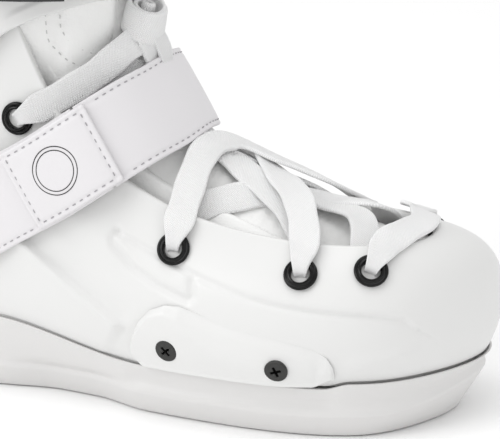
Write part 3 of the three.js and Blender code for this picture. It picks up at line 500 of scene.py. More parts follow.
def side_plate(name, outline, replaced):
    stations = np.array([row[0] for row in outline])
    tops = np.array([row[1] for row in outline])
    ascending = stations[-1] > stations[0]
    s = stations[0] + (stations[-1] - stations[0]) * (0.5 - 0.5 * np.cos(np.linspace(0, math.pi, 160)))
    top = np.interp(s, stations if ascending else stations[::-1], tops if ascending else tops[::-1])
    u = s / len(STATIONS)
    share = np.abs((s - stations[0]) / (stations[-1] - stations[0]))
    z_top = wall(u, top)[:, 2]
    rows_out, rows_in = [], []
    levels = 0.5 - 0.5 * np.cos(np.linspace(0, math.pi, 44))
    for level in levels:
        z_foot = PLATE_FOOT_Z + 3.2 * smoothstep(0.12 - share, 0, 0.12) + 6 * smoothstep(share, 0.9, 1) ** 2
        z = z_foot + (z_top - z_foot) * level
        held = np.maximum(z, LEDGE_Z)
        base = off_wall(u, v_at_height(u, held), 0 * u)
        normal = wall_normal(u, v_at_height(u, held))
        place = base.copy()
        place[:, 2] = z
        mm_top = z_top - z
        mm_end = np.minimum(share, 1 - share) * PLATE_LENGTH
        melt = smoothstep(0.86 - share, 0, 0.3) * smoothstep(share, 0.02, 0.1)
        soft_top = smoothstep(mm_top, -1.5 + 2 * melt, 3.2 + 12 * melt)
        soft_end = smoothstep(mm_end, -0.8, 2.2)
        soft_low = smoothstep(z - z_foot, -0.8, 1.2)
        thin_front = 0.4 + 0.6 * smoothstep(share, 0.02, 0.3)
        thick = PLATE_THICK * soft_top * soft_end * soft_low * thin_front
        sunk = 0.9 * melt * (1 - smoothstep(mm_top, 0, 5))
        rows_out.append(place + normal * (PLATE_SEAT + thick - sunk)[:, None])
        rows_in.append(place + normal * (0.4 * PLATE_SEAT - sunk)[:, None])
    folded_sheet(name, rows_out, rows_in, white_nylon, 50, "boot", replaced)


side_plate("side_plate_outer_pad", outer_top, "side_plate_outer")
side_plate("side_plate_inner_pad", inner_top, "side_plate_inner")


# ---- things set on points: screws, eyelets, stitches ----
# One tree sets a made piece on each point of a base mesh, its Z along the point's facing and its X along the
# point's run, and gives the result a finish.
def setting_tree():
    made = bpy.data.node_groups.new("set_on_points", "GeometryNodeTree")
    for name, kind, way in [("Points", "NodeSocketGeometry", "INPUT"), ("Piece", "NodeSocketObject", "INPUT"),
                            ("Finish", "NodeSocketMaterial", "INPUT"), ("Size", "NodeSocketFloat", "INPUT"),
                            ("Result", "NodeSocketGeometry", "OUTPUT")]:
        made.interface.new_socket(name, in_out=way, socket_type=kind)
    ins = node(made, "NodeGroupInput")
    facing = node(made, "GeometryNodeInputNamedAttribute", {"Name": "facing"}, data_type="FLOAT_VECTOR")
    run = node(made, "GeometryNodeInputNamedAttribute", {"Name": "run"}, data_type="FLOAT_VECTOR")
    up = node(made, "FunctionNodeAlignRotationToVector", {"Vector": facing.outputs["Attribute"]}, axis="Z")
    turn = node(made, "FunctionNodeAlignRotationToVector",
                {"Rotation": up.outputs[0], "Vector": run.outputs["Attribute"]}, axis="X", pivot_axis="Z")
    source = node(made, "GeometryNodeObjectInfo", {"Object": ins.outputs["Piece"]})
    spread = node(made, "GeometryNodeInstanceOnPoints",
                  {"Points": ins.outputs["Points"], "Instance": source.outputs["Geometry"],
                   "Rotation": turn.outputs[0], "Scale": ins.outputs["Size"]})
    real = node(made, "GeometryNodeRealizeInstances", {"Geometry": spread.outputs[0]})
    coat = node(made, "GeometryNodeSetMaterial",
                {"Geometry": real.outputs[0], "Material": ins.outputs["Finish"]})
    node(made, "NodeGroupOutput", {"Result": coat.outputs[0]})
    return made


set_on_points = setting_tree()


def set_pieces(name, master, places, facings, runs, finish, body, replaced):
    mesh = bpy.data.meshes.new(name)
    mesh.from_pydata((np.asarray(places) * MM).tolist(), [], [])
    for key, values in (("facing", facings), ("run", runs)):
        layer = mesh.attributes.new(key, "FLOAT_VECTOR", "POINT")
        layer.data.foreach_set("vector", np.asarray(values, np.float32).ravel())
    made = new_object(name, mesh)
    step = made.modifiers.new("set", "NODES")
    step.node_group = set_on_points
    sockets = {item.name: item.identifier for item in set_on_points.interface.items_tree
               if item.in_out == "INPUT"}
    step[sockets["Piece"]] = master
    step[sockets["Finish"]] = finish
    step[sockets["Size"]] = 1.0
    result = baked(made)
    result.shade_smooth()
    result.set_sharp_from_angle(angle=math.radians(40))
    bpy.data.objects.remove(master)
    return settle(made, body, replaced)


# A turned piece about Z from radius and height pairs.
def turned(name, profile, segments, finish):
    angles = np.arange(segments) / segments * 2 * math.pi
    points = [[r * math.cos(a), r * math.sin(a), z] for r, z in profile for a in angles]
    made = piece(name, points, grid_faces(len(profile), segments).tolist(), finish)
    tidy_faces(made)
    return made


# Side plate screws: M5 countersunk machine screws, black-oxided steel, with a cross recess.
SCREW_HEAD_R = 5
PLATE_SCREWS = [[26.5, 34.5], [75, 32.2]]
# Dark grey satin steel; in the recess a near-black matt cross, painted shade where no light falls.
oxided_steel = material("black_oxided_steel", "#3a3a39", 0.45, {"Metallic": 0.5})
recess_painted_shade = material("painted_shade_in_the_recess", "#030303", 0.9, {"Specular IOR Level": 0.05})


# How far the arms of the cross reach from its middle at an angle.
CROSS_LENGTH, CROSS_HALF = 2.55, 0.62


def cross_reach(angle):
    c, s = np.abs(np.cos(angle)) + 1e-6, np.abs(np.sin(angle)) + 1e-6
    return np.maximum(np.minimum(CROSS_LENGTH / c, CROSS_HALF / s),
                      np.minimum(CROSS_LENGTH / s, CROSS_HALF / c))


def screw_master():
    corner = math.atan2(CROSS_HALF, CROSS_LENGTH)
    inner = math.pi / 4
    fine = sorted({round(k * math.pi / 2 + a, 5) for k in range(4)
                   for a in (0, corner - 0.002, corner + 0.002, inner - 0.25, inner, inner + 0.25,
                             math.pi / 2 - corner - 0.002, math.pi / 2 - corner + 0.002)})
    angles = np.array(fine)
    reach = cross_reach(angles)
    direction = np.stack([np.cos(angles), np.sin(angles)], -1)
    rows = [(4.2 + 0 * reach, -3.2), (SCREW_HEAD_R + 0 * reach, -0.9), (SCREW_HEAD_R + 0 * reach, -0.1),
            (4.75 + 0 * reach, 0.22), (3.9 + 0 * reach, 0.36), (np.maximum(3.0, reach), 0.42), (reach, 0.44),
            (reach * 0.96, 0.3), (reach * 0.82, -1.3), (reach * 0.02, -1.6)]
    rings = [np.concatenate([direction * r[:, None], np.full((len(angles), 1), z)], -1) for r, z in rows]
    points = np.concatenate(rings)
    made = piece("screw_head", points, grid_faces(len(rows), len(angles)).tolist(), oxided_steel, 30)
    tidy_faces(made)
    return made


# The floor of the recess, a cross just under the top of the head, coloured near black as painted shade.
def cross_master():
    c = [(2.4, 0.52), (0.52, 0.52), (0.52, 2.4), (-0.52, 2.4), (-0.52, 0.52), (-2.4, 0.52)]
    outline = c + [(-x, -y) for x, y in c]
    points = [(x, y, z) for z in (-1.3, 0.2) for x, y in outline]
    count = len(outline)
    faces = [[i, (i + 1) % count, count + (i + 1) % count, count + i] for i in range(count)]
    faces += [list(range(count))[::-1], list(range(count, 2 * count))]
    made = piece("recess", points, faces, recess_painted_shade, 30)
    tidy_faces(made)
    return made


def wall_places(places, side, lift):
    found = [on_wall(x, z, side) for x, z in places]
    u, v = np.array([f[0] for f in found]), np.array([f[1] for f in found])
    normal = wall_normal(u, v)
    run = unit(wall(u + 0.002, v) - wall(u - 0.002, v))
    return wall(u, v) + normal * lift, normal, run, u, v


for side, side_name in ((-1, "outer"), (1, "inner")):
    for row, place in enumerate(PLATE_SCREWS):
        spot, facing, run, _, _ = wall_places([place], side, PLATE_SEAT + PLATE_THICK)
        turn = 0.75 if row == 0 else 0.35
        across = np.cross(facing, run)
        run = run * math.cos(turn) + across * math.sin(turn)
        set_pieces(f"plate_screw_{side_name}_head_{row + 1}", screw_master(), spot, facing, run, oxided_steel,
                   "boot", [f"plate_screw_{side_name}_{row + 1}"])
        # The near-black cross in each recess is painted shade.
        set_pieces(f"plate_screw_{side_name}_recess_{row + 1}", cross_master(), spot, facing, run,
                   recess_painted_shade, "boot", [])

# ---- eyelets ----
# Rolled brass eyelets, black lacquered and glossy: 14 mm across with an 8 mm hole, rolled from the outside.
EYELET_PLACES = [[109.5, 72.8], [82, 70.6], [26, 75.6], [-47, 124]]
# Deep black lacquer with small sharp highlights on the rolled edge.
black_lacquer = material("black_lacquered_brass", "#040404", 0.1, {"Specular IOR Level": 0.28})
EYELET_PROFILE = [[5.0, -3.8], [5.0, 0.2], [6.9, 0.25], [7.15, 0.6], [7.2, 1.0], [7.0, 1.45], [6.6, 1.75],
                  [6.2, 1.75], [5.95, 1.65], [5.75, 1.8], [5.5, 2.25], [5.1, 2.6], [4.7, 2.65], [4.35, 2.4],
                  [4.1, 1.9], [4.0, 1.2], [4.0, -3.8], [5.0, -3.8]]
for side, side_name in ((-1, "outer"), (1, "inner")):
    for row, place in enumerate(EYELET_PLACES):
        spot, facing, run, _, _ = wall_places([place], side, 0.1)
        ring = turned("eyelet", EYELET_PROFILE, 44, black_lacquer)
        set_pieces(f"rolled_eyelet_{side_name}_{row + 1}", ring, spot, facing, run, black_lacquer, "boot",
                   [f"eyelet_{side_name}_{row + 1}"])

# ---- strap over the instep ----
# A 38 mm strap of white coated fabric, stitched near its edges and riveted to the shell on both sides. One
# band comes round from the inner side, the other from the outer side; the end patch covers where they meet.
STRAP_ACROSS = unit(np.array([-0.52, 0, 0.854]))
STRAP_LINE = [[-92, -44, 65], [-72, -47, 76], [-53, -47.5, 88], [-30, -47, 102], [-10, -43.5, 116],
              [3, -31, 125], [10.3, -14, 129.3], [12.5, 2, 131.5], [10.3, 17, 129.3], [3, 31, 125],
              [-10, 41.5, 116], [-30, 45, 102], [-53, 45.5, 88], [-72, 45, 76], [-92, 42.5, 65]]
STRAP_WIDTH = 38
STRAP_THICK = 2
PATCH_FROM, PATCH_TO = 0.195, 0.337
PATCH_THICK = 2.6


# A smooth line through points, given back as evenly spaced points and its length.
def smooth_line(points, count):
    points = np.asarray(points, float)
    ends = np.vstack([2 * points[0] - points[1], points, 2 * points[-1] - points[-2]])
    dense = []
    t = (np.arange(48) / 48)[:, None]
    for p0, p1, p2, p3 in zip(ends, ends[1:], ends[2:], ends[3:]):
        d0, d1, d2 = [max(np.linalg.norm(b - a) ** 0.5, 1e-4) for a, b in ((p0, p1), (p1, p2), (p2, p3))]
        t1 = ((p1 - p0) / d0 - (p2 - p0) / (d0 + d1) + (p2 - p1) / d1) * d1
        t2 = ((p2 - p1) / d1 - (p3 - p1) / (d1 + d2) + (p3 - p2) / d2) * d1
        rise = p2 - p1
        dense.append(p1 + t1 * t + (3 * rise - 2 * t1 - t2) * t ** 2 + (t1 + t2 - 2 * rise) * t ** 3)
    dense = np.vstack([*dense, points[-1:]])
    run = np.concatenate([[0], np.cumsum(np.linalg.norm(np.diff(dense, axis=0), axis=1))])
    even = np.linspace(0, run[-1], count)
    return np.stack([np.interp(even, run, dense[:, k]) for k in range(dense.shape[1])], -1), run[-1]


strap_middle, strap_length = smooth_line(STRAP_LINE, 1200)
strap_outward = unit(np.cross(np.gradient(strap_middle, axis=0), STRAP_ACROSS))


def strap_place(share, across, lift):
    share, across, lift = np.broadcast_arrays(*(np.asarray(a, float) for a in (share, across, lift)))
    k = share * (len(strap_middle) - 1)
    low = np.clip(np.floor(k).astype(int), 0, len(strap_middle) - 2)
    t = (k - low)[..., None]
    middle = strap_middle[low] * (1 - t) + strap_middle[low + 1] * t
    outward = unit(strap_outward[low] * (1 - t) + strap_outward[low + 1] * t)
    return middle + STRAP_ACROSS * across[..., None] + outward * lift[..., None]


# Coated fabric: a cool white, duller than the shell, with a fine pebbled grain.
coated_fabric = material("coated_white_fabric", "#dfdddf", 0.5, {"Coat Weight": 0.08, "Coat Roughness": 0.5})
grained(coated_fabric, "ShaderNodeTexVoronoi", {"Scale": 900.0}, 0.06, 0.0002)


# A flat sewn band: eased edges, and a shallow valley where each row of stitches pulls it in.
def sewn_band(name, start, end, low, thick, body, replaced, width=STRAP_WIDTH, steps=140):
    half = width / 2
    ease = thick / 2
    across = np.linspace(-half + ease, half - ease, 49)
    valley = 0.42 * np.exp(-((np.abs(across) - (half - 2.4)) / 0.8) ** 2)
    crown = 0.35 * (1 - (across / half) ** 2)
    arc = np.linspace(-math.pi / 2, math.pi / 2, 7)[1:-1]
    section = [(a, low + thick + c - v) for a, c, v in zip(across, crown, valley)]
    section += [(half - ease + ease * math.cos(-t), low + ease - ease * math.sin(t)) for t in arc]
    section += [(a, low) for a in np.linspace(half - ease, -half + ease, 9)]
    section += [(-half + ease - ease * math.cos(t), low + ease + ease * math.sin(t)) for t in arc]
    section = np.array(section)
    length = (end - start) * strap_length
    eased = [0, 0.25, 0.6, 1.1]
    at = np.concatenate([eased, np.linspace(1.6, length - 1.6, steps), [length - e for e in eased[::-1]]])
    rings = []
    for place in at:
        edge = min(place, length - place)
        pull = 1 - math.sqrt(max(0, 1 - (1 - min(1, edge / 1.1)) ** 2))
        dip = 0.42 * math.exp(-((edge - 2.4) / 0.8) ** 2)
        lift = low + (section[:, 1] - low - dip * (section[:, 1] > low + thick * 0.8)) * (1 - 0.45 * pull)
        lift += thick * 0.2 * pull
        rings.append(strap_place(start + place / strap_length, section[:, 0], lift))
    return ring_solid(name, rings, coated_fabric, body, replaced, 70)


sewn_band("strap_band_outer", 0.0, PATCH_TO - 0.018, 0, STRAP_THICK, "boot", ["strap_anchor_band"])
sewn_band("strap_band_inner", PATCH_TO - 0.014, 1.0, 0, STRAP_THICK, "boot", ["strap_instep_band"],
          steps=200)
sewn_band("strap_end_patch_sewn", PATCH_FROM, PATCH_TO, STRAP_THICK + GAP, PATCH_THICK, "strap_tail",
          ["strap_end_patch"], width=STRAP_WIDTH - 1.6)

# Rows of sewn thread on the strap: grey polyester, matt, darker than the fabric, 3.7 mm to a stitch and
# 0.5 mm thick.
grey_thread = material("grey_polyester_thread", "#a3a1a4", 0.75)
STITCH_PITCH = 3.7


def stitch_master():
    angles = np.arange(6) / 6 * 2 * math.pi
    rows = [(-0.85, 0.1), (-0.6, 0.22), (0.6, 0.22), (0.85, 0.1)]
    rings = [[[x, 1.25 * r * math.cos(a), 0.8 * r * math.sin(a)] for a in angles] for x, r in rows]
    points = np.concatenate([np.reshape(rings, (-1, 3)), [[-0.9, 0, 0], [0.9, 0, 0]]])
    faces = grid_faces(4, 6).tolist()
    faces += [[(i + 1) % 6, i, 24] for i in range(6)] + [[18 + i, 18 + (i + 1) % 6, 25] for i in range(6)]
    made = piece("stitch", points, faces, grey_thread)
    tidy_faces(made)
    return made


# Stitches evenly along a line of points on a surface, given with the surface's facing at each point.
def stitch_row(line, facing):
    run = np.concatenate([[0], np.cumsum(np.linalg.norm(np.diff(line, axis=0), axis=1))])
    count = max(2, int(run[-1] / STITCH_PITCH))
    at = (np.arange(count) + 0.5) * run[-1] / count
    along = np.gradient(line, axis=0)
    pick = lambda values: np.stack([np.interp(at, run, values[:, k]) for k in range(3)], -1)
    return pick(line), unit(pick(facing)), unit(pick(along))


def strap_row(shares, across, lift):
    line = strap_place(shares, across, lift)
    facing = unit(strap_place(shares, across, np.asarray(lift) + 1.0) - line)
    return stitch_row(line, facing)


def sew(name, rows, finish, body):
    places, facings, runs = (np.concatenate(parts) for parts in zip(*rows))
    return set_pieces(name, stitch_master(), places, facings, runs, finish, body, [])


edge = STRAP_WIDTH / 2 - 2.4
band_shares = np.linspace(PATCH_TO + 0.014, 0.985, 400)
sew("strap_stitches_inner", [strap_row(band_shares, sign * edge, STRAP_THICK - 0.1)
                             for sign in (-1, 1)]
    + [strap_row(np.full(40, PATCH_TO + 0.009), np.linspace(-edge, edge, 40), STRAP_THICK - 0.1)],
    grey_thread, "boot")
outer_shares = np.linspace(0.01, PATCH_FROM - 0.01, 200)
sew("strap_stitches_outer", [strap_row(outer_shares, sign * edge, STRAP_THICK - 0.1) for sign in (-1, 1)],
    grey_thread, "boot")
patch_edge = (STRAP_WIDTH - 1.6) / 2 - 2.4
patch_lift = STRAP_THICK + GAP + PATCH_THICK - 0.12
patch_shares = np.linspace(PATCH_FROM + 0.009, PATCH_TO - 0.009, 80)
patch_width = np.linspace(-patch_edge, patch_edge, 40)
ends = [PATCH_FROM + 0.008, PATCH_TO - 0.008, PATCH_TO - 0.0145]
sew("patch_stitches", [strap_row(patch_shares, sign * patch_edge, patch_lift) for sign in (-1, 1)]
    + [strap_row(np.full(40, share), patch_width, patch_lift + 0.05) for share in ends],
    grey_thread, "strap_tail")


# A plain double ring printed on the patch.
printed_ink = material("printed_black_ink", "#1b1b1c", 0.6)
ring_centre = ((PATCH_FROM + PATCH_TO) / 2 - 0.004, 0.5)
around = np.linspace(0, 2 * math.pi, 73)[:-1]
for label, radius in (("wide", 10.2), ("narrow", 8.6)):
    rings = []
    for step, lift in ((-0.22, -0.1), (-0.2, 0.38), (0.2, 0.38), (0.22, -0.1)):
        r = radius + step
        rings.append(strap_place(ring_centre[0] + r * np.cos(around) / strap_length,
                                 ring_centre[1] + r * np.sin(around), STRAP_THICK + GAP + PATCH_THICK + lift))
    rings = np.array(rings)
    made = piece(f"patch_ring_{label}", rings, grid_faces(4, len(around)).tolist()
                 + [[3 * 72 + i, 3 * 72 + (i + 1) % 72, (i + 1) % 72, i] for i in range(72)], printed_ink)
    tidy_faces(made)
    settle(made, "strap_tail", [])


# Rivets that hold the strap to the shell: domed steel heads.
RIVET_HEAD = [[0.02, 2.1], [2.2, 2.0], [4.4, 1.6], [5.8, 0.9], [6.5, 0.0], [6.5, -0.3], [2.5, -0.3],
              [2.5, -7], [0.02, -7]]
for share, side_name in ((0.035, "outer"), (0.965, "inner")):
    lift = STRAP_THICK + GAP
    spot, run = strap_place([share], [0], [lift]), [STRAP_ACROSS]
    facing = unit(strap_place([share], [0], [9]) - strap_place([share], [0], [0]))
    set_pieces(f"strap_rivet_{side_name}_head", turned("rivet", RIVET_HEAD, 40, oxided_steel), spot, facing,
               run, oxided_steel, "boot", [f"strap_rivet_{side_name}"])

# ---- lace ----
# One flat tubular braid of white polyester, 13 mm wide and 1.9 mm thick, gathered where it goes through an
# eyelet. It crosses over the edge of the shell and the tongue, and is tied over the ankle.
LACE_WIDTH = 13
LACE_THICK = 1.9
GATHERED_WIDTH, GATHERED_THICK = 5.2, 3.6
LACE_UNDER = 5.9
ANKLE_ROW = 3
LACE_RUNS = [
    ([-1, 0, 1], [1, 0, 1], [[117, -14, 85.5], [120, 3, 86], [115, 18, 85]]),
    ([-1, 0, 0], [1, 2, 0], [[96, -9, 88.5], [78, -3, 90], [62, 4, 93], [44, 19, 93.5]]),
    ([1, 0, 0], [-1, 2, 0], [[97, 9, 88.5], [79, 3, 90.5], [62, -4, 92.8], [44, -19, 93.5]]),
    ([-1, 1, 1], [1, 2, 1], [[71, -17, 95.5], [56, -2, 101], [40, 16, 104]]),
    ([1, 1, 1], [-1, 2, 1], [[70, 17, 95], [52, 9, 104], [34, 2, 112], [28, -12, 111.5]]),
    ([-1, 1, 0], [1, 3, 0], [[66, -16, 90.5], [40, -6, 104], [14, 0, 120.5], [3, 6, 135], [-12, 20, 144]]),
    ([1, 1, 0], [-1, 3, 0], [[66, 16, 90.5], [40, 6, 104], [15, 0, 120.5], [4, -6, 135], [-12, -20, 144]]),
    ([-1, 3, 1], [1, 3, 1], [[-15.5, -28.5, 143.5], [-6, -16, 153.5], [-1.5, 0, 158], [-6, 16, 153.5],
                             [-15.5, 28.5, 143.5]]),
]
LACE_FACES_AHEAD = [[-47, 0], [-30, 0.3], [-10, 0.9], [5, 0.85], [30, 0.6], [60, 0.35], [120, 0.3]]
LACE_FACES_UP = [[-47, 0.1], [-30, 0.2], [-10, 0.3], [5, 0.5], [30, 0.8], [60, 0.95], [120, 0.95]]
eyelet_at = {}
for side in (-1, 1):
    spots, normals, _, us, _ = wall_places(EYELET_PLACES, side, 0)
    for row in range(4):
        eyelet_at[side, row] = (spots[row], normals[row], us[row])

# Woven polyester: matt bright white with visible plaits and a little sheen at the edges.
braid = material("white_polyester_braid", "#fafafa", 0.8, {"Sheen Weight": 0.3, "Sheen Roughness": 0.4})
tree = braid.node_tree
flow = node(tree, "ShaderNodeUVMap", uv_map="braid")
axes = node(tree, "ShaderNodeSeparateXYZ", {"Vector": flow.outputs[0]})


def maths(tree, operation, first, second):
    made = node(tree, "ShaderNodeMath", {0: first, 1: second}, operation=operation)
    return made.outputs[0]


# Plaits 1.7 mm apart in both slants; the map counts millimetres along the lace and across it.
BRAID_PITCH = 1.7
turn = 2 * math.pi / BRAID_PITCH
steep = maths(tree, "MULTIPLY", axes.outputs[1], 0.75)
slants = [maths(tree, "MULTIPLY", maths(tree, way, axes.outputs[0], steep), turn)
          for way in ("ADD", "SUBTRACT")]
waves = [maths(tree, "SINE", slant, 0.0) for slant in slants]
plait = maths(tree, "MULTIPLY", waves[0], waves[1])
height = maths(tree, "ABSOLUTE", plait, 0.0)
bumped(braid, height, 0.7, 0.0005)
# The hollows between the plaits are coloured greyer than their crowns, from the same height as the bump:
# painted shade.
ramp = node(tree, "ShaderNodeValToRGB", {"Fac": height})
ramp.color_ramp.elements[0].color = linear("#ececec")
ramp.color_ramp.elements[1].color = linear("#ffffff")
ramp.color_ramp.elements[1].position = 0.3
tree.links.new(ramp.outputs[0], tree.nodes["Principled BSDF"].inputs["Base Color"])


def lace_end(side, row, over):
    point, normal, u = eyelet_at[side, row]
    to_toe = 0.35 * side / len(STATIONS) if row == 0 and over else 0
    edge = off_wall(u + to_toe, 1.0, 2.6 if over else -LACE_UNDER)
    if row == ANKLE_ROW and not over:
        edge = np.array([-31.0, side * 31.0, 132.0])
    if not over:
        return [point - normal * 2.0, point * 0.6 + edge * 0.4 - normal * 3.6, edge]
    if row == ANKLE_ROW:
        edge = np.array([-34.0, side * 39.5, 131.0])
    toward = edge - point
    toward = unit(toward - normal * (toward @ normal))
    out = [point + normal * 2.2 + toward * 0.8, point + normal * 3.6 + toward * 4.5]
    return [point - normal * 2.0, *out, edge]


# The section of the braid: flat, with soft edges a little thicker than its middle.
half_flat = np.array([-0.5, -0.49, -0.465, -0.42, -0.3, -0.1, 0.1, 0.3, 0.42, 0.465, 0.49, 0.5])
half_rise = np.array([0, 0.6, 0.95, 1, 0.82, 0.74, 0.74, 0.82, 1, 0.95, 0.6, 0])
LACE_FLAT = np.concatenate([half_flat, half_flat[-2:0:-1]])
LACE_RISE = np.concatenate([half_rise, -half_rise[-2:0:-1]])


def facing_at(place):
    ahead = np.interp(place[:, 0], *np.array(LACE_FACES_AHEAD).T)
    up = np.interp(place[:, 0], *np.array(LACE_FACES_UP).T)
    return unit(np.stack([ahead, place[:, 1] / 28, up], -1))


def lace_tube(line, length, widths, thick, outward):
    tangent = unit(np.gradient(line, axis=0))
    across = unit(np.cross(tangent, outward))
    up = unit(np.cross(across, tangent))
    sway = 0.16 * np.sin(np.linspace(0, 7, len(line)) + length)[:, None]
    across, up = across * np.cos(sway) + up * np.sin(sway), up * np.cos(sway) - across * np.sin(sway)
    cup = -0.035 * (LACE_FLAT * 2) ** 2
    rings = [p + a * LACE_FLAT[:, None] * w + n * (LACE_RISE[:, None] * t / 2 + cup[:, None] * w)
             for p, a, n, w, t in zip(line, across, up, widths, thick)]
    return np.array(rings)


def lace_points(start, end, by):
    points = lace_end(*start) + [np.array(p, float) for p in by] + lace_end(*end)[::-1]
    return smooth_line(points, 90)


lace_rings, lace_maps = [], []
for number, (start, end, by) in enumerate(LACE_RUNS):
    line, length = lace_points(start, end, by)
    along = np.linspace(0, length, len(line))
    gather = np.minimum(along, length - along)
    widths = GATHERED_WIDTH + (LACE_WIDTH - GATHERED_WIDTH) * smoothstep(gather, 2, 17)
    widths *= 1 + 0.035 * np.sin(along * 0.35 + number * 2.1)
    thick = GATHERED_THICK + (LACE_THICK - GATHERED_THICK) * smoothstep(gather, 3, 15)
    outward = facing_at(line)
    for side_end, places in ((start, gather == along), (end, gather != along)):
        normal = eyelet_at[side_end[0], side_end[1]][1]
        hold = (1 - smoothstep(gather, 5, 20))[:, None] * places[:, None]
        outward = unit(outward * (1 - hold) + normal * hold)
    lace_rings.append(lace_tube(line, length, widths, thick, outward))
    lace_maps.append(along)


def braided(name, ring_sets, along_sets, body, replaced):
    points, faces, maps, start = [], [], [], 0
    for rings, along in zip(ring_sets, along_sets):
        rows, columns = rings.shape[:2]
        points.append(rings.reshape(-1, 3))
        points.append([rings[0].mean(0), rings[-1].mean(0)])
        faces += grid_faces(rows, columns, start=start).tolist()
        last = start + (rows - 1) * columns
        tip = start + rows * columns
        for i in range(columns):
            j = (i + 1) % columns
            faces.append([start + j, start + i, tip])
            faces.append([last + i, last + j, tip + 1])
        across = (LACE_FLAT + 0.5) * LACE_WIDTH
        maps += [(along[r], across[c]) for r in range(rows) for c in range(columns)] + [(0, 0), (0, 0)]
        start = tip + 2
    made = piece(name, np.concatenate(points), faces, braid, 180)
    layer = made.data.uv_layers.new(name="braid")
    corners = np.array([loop.vertex_index for loop in made.data.loops])
    layer.data.foreach_set("uv", np.array(maps, np.float32)[corners].ravel())
    work = bmesh.new()
    work.from_mesh(made.data)
    bmesh.ops.recalc_face_normals(work, faces=work.faces)
    work.to_mesh(made.data)
    work.free()
    return settle(made, body, replaced)


# The knot: the two ends wound over the crossing at the ankle, and their tips tucked down behind the strap.
wind = np.linspace(0, 2 * math.pi * 2.75, 170)
grow = 2.3 + (10.2 - 2.3) * wind / wind[-1]
axis = unit(np.array([0.36, -0.12, 0.92]))
level = unit(np.cross(axis, [0.0, 1.0, 0.0]))
cross_level = np.cross(axis, level)
round_knot = level * np.cos(wind + 0.5)[:, None] + cross_level * np.sin(wind + 0.5)[:, None]
line = np.array([-3.8, -6.0, 164.0]) + round_knot * grow[:, None] + axis * (0.8 * np.sin(wind * 0.7))[:, None]
along = np.concatenate([[0], np.cumsum(np.linalg.norm(np.diff(line, axis=0), axis=1))])
knot_rings = [lace_tube(line, 1.0, 14.5 + np.sin(wind * 1.3), np.full(len(wind), 1.9), round_knot)]
knot_maps = [along]
for tip in ([[-3, -9, 161], [-0.5, -10.5, 154.5], [1, -9, 148], [1.5, -6, 142]],
            [[1, -5, 161], [4, -5.5, 155], [5.5, -4, 149], [5.5, -1, 143]]):
    line, length = smooth_line(tip, 60)
    ahead = unit(np.tile([0.9, -0.4, 0.25], (60, 1)))
    knot_rings.append(lace_tube(line, length, np.full(60, 7.0), np.full(60, 2.2), ahead))
    knot_maps.append(np.linspace(0, length, 60))
braided("lace_braid", lace_rings + knot_rings, lace_maps + knot_maps, "boot", ["lace"])

# ---- tongue ----
# A padded tongue of white mesh fabric over foam, with sewn ribs across it under the laces. Its foot is sewn
# into the liner.
TONGUE_LINE = [[112, 80, 13, 3], [102, 81.5, 16, 5], [88, 84.5, 20, 8], [70, 89, 22, 10], [52, 95, 24, 12],
               [33, 103.5, 25, 13], [14.5, 115.5, 25, 14], [1, 133, 23, 13], [-8, 152, 17, 6],
               [-11, 168, 14.5, 5], [-12, 190, 14.5, 5], [-9, 230, 15, 5], [-3, 276, 16, 5]]
TONGUE_THICK = 6
RIB_PITCH = 5.5


# Knitted mesh over foam: matt, with small even cells and a light sheen at the edges.
def mesh_fabric(name, colour, weave):
    made = material(name, colour, 0.85, {"Sheen Weight": 0.2, "Sheen Roughness": 0.5})
    grained(made, "ShaderNodeTexVoronoi", {"Scale": weave, "Randomness": 0.35}, 0.35, 0.0005)
    return made


spacer_mesh = mesh_fabric("white_spacer_mesh", "#efefee", 620.0)
tongue_middle, tongue_length = smooth_line(TONGUE_LINE, 260)
tongue_run = np.linspace(0, tongue_length, 260)
tangent = unit(np.gradient(tongue_middle[:, :2], axis=0))
tongue_out = np.stack([tangent[:, 1], 0 * tangent[:, 0], -tangent[:, 0]], -1)
tongue_centre = np.stack([tongue_middle[:, 0], 0 * tongue_run, tongue_middle[:, 1]], -1)
around = np.linspace(0, 2 * math.pi, 65)[:-1]
tongue_rings = []
for k, run in enumerate(tongue_run):
    width, drop = tongue_middle[k, 2:]
    close = min(1, min(run, tongue_length - run) / 5)
    pinch = math.sqrt(max(0.02, 1 - (1 - close) ** 2))
    rib = 0.55 * abs(math.sin(math.pi * run / RIB_PITCH)) ** 0.6 - 0.55
    across = np.sign(np.cos(around)) * np.abs(np.cos(around)) ** 0.55
    height = np.sign(np.sin(around)) * np.abs(np.sin(around)) ** 0.75
    ribbed = rib * smoothstep(run, 4, 12) * smoothstep(0.98 - np.abs(across), 0.0, 0.2) * (height > 0)
    lift = -TONGUE_THICK / 2 - drop * across ** 2 + TONGUE_THICK / 2 * height * pinch + ribbed
    ring = tongue_centre[k] + np.stack([0 * across, across * (width + 0.6), 0 * across], -1)
    tongue_rings.append(ring + tongue_out[k] * lift[:, None])


# Foam under a sewn cover swells where nothing holds it: the mesh is blown up as cloth above a height, and no
# point moves farther than the cap.
FOAM_PRESSURE = 4
FOAM_FRAMES = 15


